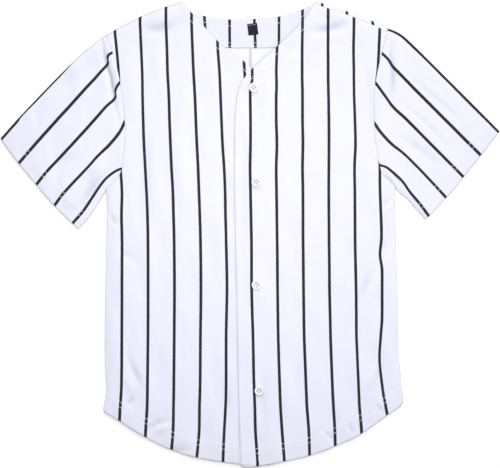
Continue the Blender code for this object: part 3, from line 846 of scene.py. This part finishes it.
def back(materials):
    """The back, in one piece, whose shoulders roll over onto the fronts."""
    outer = []
    for side in SIDE:
        curve = joined(drawn(SIDE[side])[::-1], armhole_curve(side, back=True))
        outer.append(at(curve, divided(length(curve) / 2) * 2))
    right, left = outer
    rows = min(len(right), len(left))
    right, left = shares(right, rows - 1), shares(left, rows - 1)
    folds = {}
    for side in SHOULDER:
        size = length(drawn(SHOULDER[side]))
        folds[side] = shoulder_roll(side, np.linspace(0, size, round(size / (2 * CELL)) + 1))
    (right_fold, right_roll), (left_fold, left_roll) = folds["right"], folds["left"]
    neck = shares(drawn(BACK_NECK), round(length(drawn(BACK_NECK)) / (2 * CELL)))
    top = joined(right_fold, neck, left_fold[::-1])
    across = along(top) / length(top)
    hem = joined(drawn(HEM["right"])[:-FINE_STEP], drawn(HEM["left"])[::-1][FINE_STEP:])
    hem = hem + np.outer(np.sin(np.pi * along(hem) / length(hem)), [0, BACK_HEM_INSET])
    flat = patch(at(hem, across * length(hem)), top, right, left, across)
    roll = np.zeros_like(top)
    roll[:len(right_roll)] = right_roll
    roll[-len(left_roll):] = left_roll[::-1]
    size = np.maximum(np.linalg.norm(roll, axis=1), 1e-6)[:, None]
    outward = -ROLL_BULGE * roll / size
    seam = roll * (1 - SEAM_GAP / 2 / size)
    rolled = np.array([top + outward, *(top + seam * share for share in ROLL_SHARES)])
    rolled_heights = upper_height(rolled)
    rolled_heights[0] = (BACK_MIDDLE + EDGE_MIDDLE) / 2
    rolled_heights[-1] -= ROLL_SINK
    fold_row = len(flat) - 1
    whole = np.vstack([flat, rolled])
    heights = np.vstack([lower_height(flat), rolled_heights])
    shoulders = (len(right_roll) - 1, len(top) - len(left_roll))

    def keep(i, j):
        return i < fold_row or j < shoulders[0] or j >= shoulders[1]

    stripes = stripe_places(whole, STRIPES["back"])
    rolled_right = (slice(fold_row + 1, None), slice(0, shoulders[0] + 1))
    of_front = stripe_places(whole[rolled_right], STRIPES["right"])
    stripes[rolled_right] = of_front - np.round(of_front - stripes[rolled_right])
    values = {"stripe": stripes, "from_hem": clear_of(whole, shares(hem, SEAM_SPANS))}
    return cloth_piece("back_cloth", raised(whole, heights), CLOTH, materials, values, keep=keep,
                       face_down=True)


def around(top, upper, lower):
    """Values round a sleeve: its top fold, upper half, bottom fold and lower half."""
    return np.concatenate([top, upper, upper[:, -1:], lower[:, ::-1]], axis=1)


def sleeve(side, materials):
    """A sleeve: one piece, folded along its top edge and seamed under the arm."""
    cuff = drawn(CUFF[side])
    top_curve, under_curve = drawn(SLEEVE_TOP[side]), drawn(UNDERARM[side])
    steps = divided((length(top_curve) + length(under_curve)) / 2)
    steps = steps / steps[-1]
    top_fold, under = at(top_curve, steps * length(top_curve)), at(under_curve, steps * length(under_curve))
    halves, flats = [], []
    for is_back, height in ((False, upper_height), (True, lower_height)):
        seam_curve = armhole_curve(side, back=is_back)[::-1]
        across = divided(length(armhole_curve(side)))
        across = across / across[-1]
        seam = at(seam_curve, across * length(seam_curve))
        hem = at(cuff, across * length(cuff))
        flat = evened(patch(seam, hem, top_fold, under, across), across, steps)
        heights = height(flat)
        if not is_back:
            off_seam = clear_of(flat, shares(seam_curve, SEAM_SPANS))
            off_cuff = clear_of(flat, shares(cuff, FINE_SPANS))
            heights += dipped(off_seam, SLEEVE_DIP) + dipped(off_cuff, EDGE_DIP)
            heights += turned(off_cuff, CUFF_ROWS)
        from_armpit = np.linalg.norm(seam - seam[-1], axis=1)
        at_armpit = np.exp(-(from_armpit / UNDERARM_REACH) ** 2)
        inset(flat, "bottom", SEAM_GAP / 2 + UNDERARM_GAP * at_armpit)
        flats.append(flat)
        halves.append(raised(flat, heights))
    upper, lower = halves
    way = np.array([EDGE_BULGE if side == "left" else -EDGE_BULGE, EDGE_BULGE])
    middle = []
    for column, outward in ((0, way), (-1, -way)):
        mean = (upper[:, column] + lower[:, column]) / 2
        mean[:, :2] += outward
        middle.append(mean[:, None])
    ring = np.concatenate([middle[0], upper, middle[1], lower[:, ::-1]], axis=1)
    stripes = [sleeve_stripe_places(flat, side) for flat in flats]
    off_cuffs = [clear_of(flat, shares(cuff, FINE_SPANS)) for flat in flats]
    off_seams = [clear_of(flat, shares(armhole_curve(side), SEAM_SPANS)) for flat in flats]
    values = {"stripe": around(stripes[0][:, :1] * 0, stripes[0], -stripes[1]),
              "from_hem": around(off_cuffs[0][:, :1], *off_cuffs),
              "from_seam": around(off_seams[0][:, :1], *off_seams)}
    body = cloth_piece(f"sleeve_{side}_cloth", ring, CLOTH, materials, values, ring=True,
                       face_down=side == "right", folded=True)
    return body, upper


def neck_facing(materials):
    """The facing inside the back of the neck."""
    neck, hem = drawn(BACK_NECK), drawn(FACING_HEM)
    rows, columns = FACING_GRID
    across = np.linspace(0, 1, columns)
    top = at(neck, FACING_END + across * (length(neck) - 2 * FACING_END)) - [0, FACING_DROP]
    bottom = at(hem, across * length(hem))
    left, right = np.linspace(bottom[0], top[0], rows), np.linspace(bottom[-1], top[-1], rows)
    flat = patch(bottom, top, left, right, across)
    off_hem = from_edge(flat, "bottom")
    heights = np.full(flat.shape[:-1], BACK_MIDDLE + CLOTH / 2 + REST_GAP + TRIM / 2)
    wave = FACING_WAVE * (1 + np.sin(flat[..., 0] / FACING_WAVE_RUN))
    heights += wave * np.exp(-((off_hem - FACING_WAVE_ROW) / FACING_WAVE_WIDTH) ** 2)
    grid = raised(flat, heights)
    values = {"stripe": stripe_places(flat, STRIPES["facing"]), "from_hem": off_hem}
    body = cloth_piece("neck_facing_cloth", grid, TRIM, materials, values)
    return body, grid


def label(material, thread):
    """The small woven label on the facing, sewn down along its top."""
    turn = np.radians(LABEL_TURN)
    axes = np.array([[np.cos(turn), np.sin(turn)], [-np.sin(turn), np.cos(turn)]])
    rows, columns = LABEL_GRID
    x = np.linspace(-0.5, 0.5, columns) * LABEL_SIZE[0]
    y = np.linspace(-0.5, 0.5, rows) * LABEL_SIZE[1]
    flat = np.stack(np.meshgrid(x, y), axis=-1) @ axes + LABEL_CENTRE
    heights = np.full(flat.shape[:-1], BACK_MIDDLE + CLOTH / 2 + 3 * REST_GAP + 1.5 * TRIM)
    heights += LABEL_CURL * (np.linspace(1, 0, rows)[:, None] ** 2) * np.ones(columns)
    grid = raised(flat, heights)
    body = cloth_piece("label_cloth", grid, TRIM, [material], {})
    stitches = thread_bars("label_stitching", [row_path(grid, "top", LABEL_ROW, TRIM)[1:-1]], thread,
                           width=0.45, height=0.3, step=1.7, stitch=1.3)
    return body, stitches


def button(number, place, material, thread, painted_hole_shade):
    """A dished button with a rounded rim, four holes in a diamond, the thread that crosses them and a dark
    disc in each hole, painted shade for its shadow.
    """
    sides = BUTTON_SIDES
    form = bmesh.new()
    rings = []
    for r, z in BUTTON_PROFILE:
        if r == 0:
            rings.append([form.verts.new((0, 0, z * MM))])
        else:
            angles = np.arange(sides) * 2 * np.pi / sides
            rings.append([form.verts.new((r * np.cos(a) * MM, r * np.sin(a) * MM, z * MM)) for a in angles])
    for inner, outer in zip(rings, rings[1:]):
        for k in range(sides):
            n = (k + 1) % sides
            if len(inner) == 1:
                form.faces.new((inner[0], outer[k], outer[n]))
            elif len(outer) == 1:
                form.faces.new((inner[k], outer[0], inner[n]))
            else:
                form.faces.new((inner[k], outer[k], outer[n], inner[n]))
    bmesh.ops.recalc_face_normals(form, faces=form.faces)
    mesh = bpy.data.meshes.new(f"button_{number}_disc")
    form.to_mesh(mesh)
    form.free()
    mesh.materials.append(material)
    disc = bpy.data.objects.new(mesh.name, mesh)
    bpy.context.scene.collection.objects.link(disc)
    holes = bmesh.new()
    for centre in hole_centres():
        ring = bmesh.ops.create_cone(holes, cap_ends=True, segments=HOLE_SIDES, radius1=HOLE_RADIUS * MM,
                                     radius2=HOLE_RADIUS * MM, depth=CUTTER_LENGTH * MM)
        bmesh.ops.translate(holes, verts=ring["verts"], vec=centre * MM)
    cutter_mesh = bpy.data.meshes.new("hole_cutter")
    holes.to_mesh(cutter_mesh)
    holes.free()
    cutter = bpy.data.objects.new("hole_cutter", cutter_mesh)
    bpy.context.scene.collection.objects.link(cutter)
    cut = disc.modifiers.new("holes", "BOOLEAN")
    cut.operation = "DIFFERENCE"
    cut.object = cutter
    cut.solver = "EXACT"
    made = bpy.data.meshes.new_from_object(disc.evaluated_get(bpy.context.evaluated_depsgraph_get()))
    disc.modifiers.clear()
    disc.data = made
    bpy.data.objects.remove(cutter)
    made.shade_smooth()
    made.set_sharp_from_angle(angle=np.radians(40))
    lo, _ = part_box(f"button_{number}")
    base = lo[2] / MM
    made.transform(matrix_at(place, base))
    made.update()
    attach(disc, "root")
    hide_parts(f"button_{number}")
    bars = []
    for turn in (HOLE_TURN, np.pi / 2 + HOLE_TURN):
        way = np.array([np.cos(turn), np.sin(turn), 0]) * HOLE_REACH
        t = np.linspace(-1, 1, 9)[:, None]
        middle = np.array([place.x, place.y, base + CROSSING_HEIGHT])
        bars.append(middle + way * t + np.array([0, 0, 1]) * (CROSSING_ARCH * (1 - t ** 6)))
    thread_bars(f"button_{number}_thread", bars, thread, width=CROSSING_WIDTH,
                height=CROSSING_DEPTH, step=CROSSING_STEP, stitch=CROSSING_LENGTH)
    # A dark disc in each hole, painted shade for the hole's shadow
    shade_discs = bmesh.new()
    for centre in hole_centres():
        ring = bmesh.ops.create_cone(shade_discs, cap_ends=True, segments=HOLE_SIDES, radius1=SHADE_DISC_RADIUS * MM,
                                     radius2=SHADE_DISC_RADIUS * MM, depth=SHADE_DISC_DEPTH * MM)
        bmesh.ops.translate(shade_discs, verts=ring["verts"], vec=centre * MM)
    mesh = bpy.data.meshes.new(f"button_{number}_hole_shade_disc")
    shade_discs.to_mesh(mesh)
    shade_discs.free()
    mesh.transform(matrix_at(place, base + SHADE_DISC_HEIGHT))
    mesh.materials.append(painted_hole_shade)
    shade_disc = bpy.data.objects.new(mesh.name, mesh)
    bpy.context.scene.collection.objects.link(shade_disc)
    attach(shade_disc, "root")


def hole_centres():
    """The middles of a button's four holes, which form a diamond."""
    turns = [quarter * np.pi / 2 + HOLE_TURN for quarter in range(4)]
    return [Vector((HOLE_REACH * np.cos(turn), HOLE_REACH * np.sin(turn), 0)) for turn in turns]


def matrix_at(place, height):
    return Matrix.Translation((place.x * MM, place.y * MM, height * MM))


# Materials

def new_material(name):
    made = bpy.data.materials.new(name)
    made.use_nodes = True
    return made, made.node_tree.nodes, made.node_tree.links, made.node_tree.nodes["Principled BSDF"]


def math_node(nodes, links, operation, *inputs):
    """A Math node whose inputs are numbers or sockets."""
    node = nodes.new("ShaderNodeMath")
    node.operation = operation
    for socket, value in zip(node.inputs, inputs):
        if isinstance(value, bpy.types.NodeSocket):
            links.new(value, socket)
        else:
            socket.default_value = value
    return node.outputs[0]


def group(name, inputs, outputs):
    """An empty shader node group with named inputs, each with its usual value, and outputs."""
    tree = bpy.data.node_groups.new(name, "ShaderNodeTree")
    for label_text, kind, value in inputs:
        socket = tree.interface.new_socket(label_text, in_out="INPUT", socket_type=kind)
        if value is not None:
            socket.default_value = value
    for label_text, kind in outputs:
        tree.interface.new_socket(label_text, in_out="OUTPUT", socket_type=kind)
    return tree, tree.nodes.new("NodeGroupInput").outputs, tree.nodes.new("NodeGroupOutput").inputs


def knit_group():
    """Height of a fine knit: rows of small loops, with a little unevenness."""
    tree, given, out = group("knit", [("Loop Size", "NodeSocketFloat", 0.0009)],
                             [("Height", "NodeSocketFloat"), ("Unevenness", "NodeSocketFloat")])
    nodes, links = tree.nodes, tree.links
    where = nodes.new("ShaderNodeTexCoord").outputs["Object"]
    apart = nodes.new("ShaderNodeSeparateXYZ")
    links.new(where, apart.inputs[0])
    turn = math_node(nodes, links, "DIVIDE", 2 * np.pi, given["Loop Size"])
    across = math_node(nodes, links, "SINE", math_node(nodes, links, "MULTIPLY", apart.outputs[0], turn))
    doubled = math_node(nodes, links, "MULTIPLY", turn, 1.3)
    down = math_node(nodes, links, "SINE", math_node(nodes, links, "MULTIPLY", apart.outputs[1], doubled))
    loops = math_node(nodes, links, "MULTIPLY", math_node(nodes, links, "ABSOLUTE", across),
                      math_node(nodes, links, "ADD", math_node(nodes, links, "MULTIPLY", down, 0.25), 0.75))
    links.new(loops, out["Height"])
    noise = nodes.new("ShaderNodeTexNoise")
    noise.inputs["Scale"].default_value = 60
    noise.inputs["Detail"].default_value = 4
    links.new(where, noise.inputs["Vector"])
    links.new(noise.outputs["Fac"], out["Unevenness"])
    return tree


def stripe_group():
    """A mask of the pinstripes, from the stripe coordinate that each piece of cloth carries."""
    tree, given, out = group("pinstripes", [("Width", "NodeSocketFloat", 0.11)],
                             [("Mask", "NodeSocketFloat")])
    nodes, links = tree.nodes, tree.links
    stripe = nodes.new("ShaderNodeAttribute")
    stripe.attribute_name = "stripe"
    noise = nodes.new("ShaderNodeTexNoise")
    noise.inputs["Scale"].default_value = 900
    noise.inputs["Detail"].default_value = 2
    links.new(nodes.new("ShaderNodeTexCoord").outputs["Object"], noise.inputs["Vector"])
    ragged = math_node(nodes, links, "MULTIPLY", math_node(nodes, links, "SUBTRACT",
                                                           noise.outputs["Fac"], 0.5), 0.012)
    moved = math_node(nodes, links, "ADD", stripe.outputs["Fac"], ragged)
    nearest = math_node(nodes, links, "ROUND", moved)
    off = math_node(nodes, links, "ABSOLUTE", math_node(nodes, links, "SUBTRACT", moved, nearest))
    half_width = math_node(nodes, links, "MULTIPLY", given["Width"], 0.5)
    edge = math_node(nodes, links, "SUBTRACT", half_width, off)
    soft = math_node(nodes, links, "MULTIPLY", edge, 220)
    mask = math_node(nodes, links, "ADD", soft, 0.5)
    mask.node.use_clamp = True
    links.new(mask, out["Mask"])
    return tree


def sewn_rows_group():
    """Grooves that rows of stitches press into the cloth, at two distances from an edge."""
    tree, given, out = group(
        "sewn_rows",
        [("Distance", "NodeSocketFloat", 0), ("First Row", "NodeSocketFloat", 20),
         ("Second Row", "NodeSocketFloat", 28), ("Groove Width", "NodeSocketFloat", 1.4)],
        [("Height", "NodeSocketFloat")])
    nodes, links = tree.nodes, tree.links
    rows = []
    for row in ("First Row", "Second Row"):
        off = math_node(nodes, links, "DIVIDE", math_node(nodes, links, "SUBTRACT", given["Distance"],
                                                          given[row]), given["Groove Width"])
        squared = math_node(nodes, links, "MULTIPLY", off, off)
        rows.append(math_node(nodes, links, "EXPONENT", math_node(nodes, links, "MULTIPLY", squared, -1)))
    total = math_node(nodes, links, "ADD", *rows)
    links.new(math_node(nodes, links, "MULTIPLY", total, -1), out["Height"])
    return tree


def painted_shade_group():
    """The cloth's colour with painted shade: darker along folds and free edges and along the fronts' edges
    where they lie on other cloth, as a painted shadow line, and darker in the troughs, as painted shade in
    the creases.
    """
    tree, given, out = group("shaded_cloth", [("Color", "NodeSocketColor", None),
                                              ("Edge Width", "NodeSocketFloat", 1.2),
                                              ("Edge Painted Shade", "NodeSocketFloat", 0.36),
                                              ("Trough Painted Shade", "NodeSocketFloat", 0.075)],
                             [("Color", "NodeSocketColor")])
    nodes, links = tree.nodes, tree.links
    inside, trough = nodes.new("ShaderNodeAttribute"), nodes.new("ShaderNodeAttribute")
    inside.attribute_name, trough.attribute_name = "inside", "trough"
    # A painted shadow line along the outline, fading out within Edge Width
    reach = math_node(nodes, links, "DIVIDE", inside.outputs["Fac"], given["Edge Width"])
    near = math_node(nodes, links, "SUBTRACT", 1, reach)
    near.node.use_clamp = True
    edge = math_node(nodes, links, "MULTIPLY", near, given["Edge Painted Shade"])
    # Painted shade in the troughs, growing with how deep each one is
    squared = math_node(nodes, links, "POWER", trough.outputs["Fac"], 2)
    deep = math_node(nodes, links, "MULTIPLY", squared, given["Trough Painted Shade"])
    shaded = nodes.new("ShaderNodeMix")
    shaded.data_type = "RGBA"
    # The colour that the painted shade darkens towards
    shaded.inputs["B"].default_value = (0.2, 0.2, 0.22, 1)
    links.new(math_node(nodes, links, "ADD", edge, deep), shaded.inputs["Factor"])
    links.new(given["Color"], shaded.inputs["A"])
    links.new(shaded.outputs["Result"], out["Color"])
    return tree


def jersey_material(name, knit, stripes, sewn, edges, rows, stripe_strength=1.0, shades=RIGHT_SIDE_SHADES):
    """The right side of the cloth: white, dark pinstripes, knit and pressed-in seams, with painted shade
    along its edges and in its troughs.
    """
    made, nodes, links, shader = new_material(name)
    shader.inputs["Roughness"].default_value = 0.82
    shader.inputs["Specular IOR Level"].default_value = 0.25
    shader.inputs["Sheen Weight"].default_value = 0.12
    shader.inputs["Sheen Roughness"].default_value = 0.45
    pattern = nodes.new("ShaderNodeGroup")
    pattern.node_tree = stripes
    pattern.inputs["Width"].default_value = STRIPE_WIDTH / STRIPE_PITCH
    weave = nodes.new("ShaderNodeGroup")
    weave.node_tree = knit
    mix = nodes.new("ShaderNodeMix")
    mix.data_type = "RGBA"
    shade = nodes.new("ShaderNodeMix")
    shade.data_type = "RGBA"
    shade.inputs["A"].default_value, shade.inputs["B"].default_value = shades
    links.new(weave.outputs["Unevenness"], shade.inputs["Factor"])
    # Painted shade along the edges and in the troughs, laid over the cloth's colour
    painted_shade = nodes.new("ShaderNodeGroup")
    painted_shade.node_tree = edges
    links.new(shade.outputs["Result"], painted_shade.inputs["Color"])
    links.new(painted_shade.outputs["Color"], mix.inputs["A"])
    mix.inputs["B"].default_value = STRIPE_COLOUR
    if stripe_strength < 1:
        links.new(math_node(nodes, links, "MULTIPLY", pattern.outputs["Mask"], stripe_strength),
                  mix.inputs["Factor"])
    else:
        links.new(pattern.outputs["Mask"], mix.inputs["Factor"])
    links.new(mix.outputs["Result"], shader.inputs["Base Color"])
    fine = nodes.new("ShaderNodeBump")
    fine.inputs["Strength"].default_value = 0.25
    fine.inputs["Distance"].default_value = 0.0002
    links.new(weave.outputs["Height"], fine.inputs["Height"])
    normal = fine.inputs["Normal"]
    for edge_value, (first, second) in rows.items():
        grooves = nodes.new("ShaderNodeGroup")
        grooves.node_tree = sewn
        distance = nodes.new("ShaderNodeAttribute")
        distance.attribute_name = edge_value
        links.new(distance.outputs["Fac"], grooves.inputs["Distance"])
        grooves.inputs["First Row"].default_value = first
        grooves.inputs["Second Row"].default_value = second
        coarse = nodes.new("ShaderNodeBump")
        coarse.inputs["Strength"].default_value = 0.3
        coarse.inputs["Distance"].default_value = 0.0004
        links.new(grooves.outputs["Height"], coarse.inputs["Height"])
        links.new(coarse.outputs["Normal"], normal)
        normal = coarse.inputs["Normal"]
    links.new(fine.outputs["Normal"], shader.inputs["Normal"])
    return made


def woven_label_material(knit):
    made, nodes, links, shader = new_material("woven_label")
    shader.inputs["Roughness"].default_value = 0.7
    shader.inputs["Specular IOR Level"].default_value = 0.2
    weave = nodes.new("ShaderNodeGroup")
    weave.node_tree = knit
    weave.inputs["Loop Size"].default_value = 0.0005
    shade = nodes.new("ShaderNodeMix")
    shade.data_type = "RGBA"
    shade.inputs["A"].default_value = (0.008, 0.008, 0.014, 1)
    shade.inputs["B"].default_value = (0.022, 0.022, 0.034, 1)
    links.new(weave.outputs["Height"], shade.inputs["Factor"])
    links.new(shade.outputs["Result"], shader.inputs["Base Color"])
    bump = nodes.new("ShaderNodeBump")
    bump.inputs["Strength"].default_value = 0.4
    bump.inputs["Distance"].default_value = 0.0002
    links.new(weave.outputs["Height"], bump.inputs["Height"])
    links.new(bump.outputs["Normal"], shader.inputs["Normal"])
    return made


def button_material():
    made, nodes, links, shader = new_material("button_plastic")
    shader.inputs["Roughness"].default_value = 0.42
    shader.inputs["Subsurface Weight"].default_value = 0.05
    noise = nodes.new("ShaderNodeTexNoise")
    noise.inputs["Scale"].default_value = 250
    shade = nodes.new("ShaderNodeMix")
    shade.data_type = "RGBA"
    shade.inputs["A"].default_value = (0.81, 0.81, 0.84, 1)
    shade.inputs["B"].default_value = (0.86, 0.86, 0.89, 1)
    links.new(nodes.new("ShaderNodeTexCoord").outputs["Object"], noise.inputs["Vector"])
    links.new(noise.outputs["Fac"], shade.inputs["Factor"])
    links.new(shade.outputs["Result"], shader.inputs["Base Color"])
    return made


def thread_material(name, shades):
    made, nodes, links, shader = new_material(name)
    shader.inputs["Roughness"].default_value = 0.6
    shader.inputs["Sheen Weight"].default_value = 0.2
    twist = nodes.new("ShaderNodeTexWave")
    twist.inputs["Scale"].default_value = 900
    links.new(nodes.new("ShaderNodeTexCoord").outputs["Object"], twist.inputs["Vector"])
    shade = nodes.new("ShaderNodeMix")
    shade.data_type = "RGBA"
    shade.inputs["A"].default_value, shade.inputs["B"].default_value = shades
    links.new(twist.outputs["Fac"], shade.inputs["Factor"])
    links.new(shade.outputs["Result"], shader.inputs["Base Color"])
    return made


def table_material():
    made, _, _, shader = new_material("white_table")
    shader.inputs["Roughness"].default_value = 0.9
    shader.inputs["Base Color"].default_value = (0.98, 0.98, 0.98, 1)
    shader.inputs["Emission Color"].default_value = (1, 1, 1, 1)
    shader.inputs["Emission Strength"].default_value = TABLE_GLOW
    return made


# Stage

def stage():
    mesh = bpy.data.meshes.new("table_top")
    corners = [(x * TABLE_HALF, y * TABLE_HALF, -TABLE_DROP)
               for x, y in ((-1, -1), (1, -1), (1, 1), (-1, 1))]
    mesh.from_pydata(corners, [], [(0, 1, 2, 3)])
    mesh.materials.append(table_material())
    floor = bpy.data.objects.new("table_top", mesh)
    bpy.context.scene.collection.objects.link(floor)

    world = bpy.data.worlds.new("studio")
    bpy.context.scene.world = world
    world.use_nodes = True
    world.node_tree.nodes["Background"].inputs["Color"].default_value = (1, 1, 1, 1)
    world.node_tree.nodes["Background"].inputs["Strength"].default_value = SKY

    for name, place, size, power in LAMPS:
        lamp = bpy.data.lights.new(name, "AREA")
        lamp.size = size
        lamp.energy = power
        light = bpy.data.objects.new(name, lamp)
        light.location = place
        bpy.context.scene.collection.objects.link(light)
        aim(light, (place[0] * AIM_SHARE, place[1] * AIM_SHARE, 0))

    lens = bpy.data.cameras.new("camera")
    lens.lens = LENS
    lens.sensor_width = SENSOR
    camera = bpy.data.objects.new("camera", lens)
    camera.location = (0, 0, HALF_VIEW * LENS / (SENSOR / 2) + VIEW_HEIGHT)
    bpy.context.scene.collection.objects.link(camera)
    bpy.context.scene.camera = camera
    bpy.context.scene.view_settings.view_transform = "Standard"
    bpy.context.scene.view_settings.look = "None"


def aim(thing, target):
    way = Vector(target) - Vector(thing.location)
    thing.rotation_euler = way.to_track_quat("-Z", "Y").to_euler()


def dress():
    # edges is the group that paints shade along the cloth's edges and in its troughs
    knit, stripes, sewn, edges = knit_group(), stripe_group(), sewn_rows_group(), painted_shade_group()
    right_cloth = jersey_material("pinstriped_front", knit, stripes, sewn, edges,
                                  {"from_hem": HEM_ROWS, "from_neck": (NECK_ROW, NECK_ROW)})
    left_cloth = jersey_material("pinstriped_placket", knit, stripes, sewn, edges,
                                 {"from_hem": HEM_ROWS, "from_neck": (NECK_ROW, NECK_ROW),
                                  "from_front": (PLACKET_ROW, PLACKET_ROW)})
    sleeve_cloth = jersey_material("pinstriped_sleeve", knit, stripes, sewn, edges, {"from_hem": CUFF_ROWS})
    # The facing's darker tones are painted shade for the neck opening
    facing_cloth = jersey_material("pinstriped_facing", knit, stripes, sewn, edges,
                                   {"from_hem": FACING_ROWS}, shades=FACING_PAINTED_SHADE_TONES)
    back_cloth = jersey_material("pinstriped_back", knit, stripes, sewn, edges, {"from_hem": HEM_ROWS})
    # The wrong side's lighter tones are painted light where the back shows inside the neck
    wrong_side = jersey_material("wrong_side", knit, stripes, sewn, edges, {},
                                 stripe_strength=SHOW_THROUGH, shades=WRONG_SIDE_SHADES)
    thread = thread_material("white_thread", ((0.82, 0.83, 0.88, 1), (0.92, 0.93, 0.96, 1)))
    # Dark grey for the discs in the button holes, painted shade
    painted_hole_shade = thread_material("painted_hole_shade", ((0.25, 0.25, 0.27, 1), (0.31, 0.31, 0.33, 1)))

    body = back([back_cloth, wrong_side])
    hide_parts("back")
    for side, height, front_cloth in (("right", upper_height, right_cloth),
                                      ("left", overlap_height, left_cloth)):
        cloth, grid = front(side, height, [front_cloth, wrong_side])
        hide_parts(f"front_{side}")
        paths = [row_path(grid, "bottom", row) for row in HEM_ROWS]
        neck_share = slice(int(NECK_ROW_START * len(grid)), len(grid) - ROW_END)
        paths.append(row_path(grid, "right", NECK_ROW)[neck_share])
        if side == "left":
            placket_share = slice(ROW_END, int(PLACKET_ROW_END * len(grid)))
            paths.append(row_path(grid, "right", PLACKET_ROW)[placket_share])
        sewing = thread_bars(f"front_{side}_stitching", paths, thread)
        cloth, grid = sleeve(side, [sleeve_cloth, wrong_side])
        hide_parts(f"sleeve_{side}")
        paths = [row_path(grid, "top", row)[ROW_END:-ROW_END] for row in CUFF_ROWS]
        sewing = thread_bars(f"sleeve_{side}_stitching", paths, thread)
    cloth, grid = neck_facing([facing_cloth, wrong_side])
    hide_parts("neck_facing")
    paths = [row_path(grid, "bottom", row, TRIM) for row in FACING_ROWS]
    paths.append(row_path(grid, "top", NECK_ROW, TRIM))
    sewing = thread_bars("neck_facing_stitching", paths, thread)
    tag, sewing = label(woven_label_material(knit), thread)
    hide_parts("label")
    plastic = button_material()
    for number, place in enumerate(BUTTONS, start=1):
        button(number, place, plastic, thread, painted_hole_shade)


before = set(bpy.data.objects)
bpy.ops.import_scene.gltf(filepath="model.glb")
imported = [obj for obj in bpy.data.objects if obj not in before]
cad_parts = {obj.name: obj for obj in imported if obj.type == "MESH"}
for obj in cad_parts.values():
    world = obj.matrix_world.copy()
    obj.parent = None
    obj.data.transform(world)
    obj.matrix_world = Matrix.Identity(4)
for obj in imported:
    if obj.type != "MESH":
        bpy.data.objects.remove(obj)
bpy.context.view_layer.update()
dress()
stage()
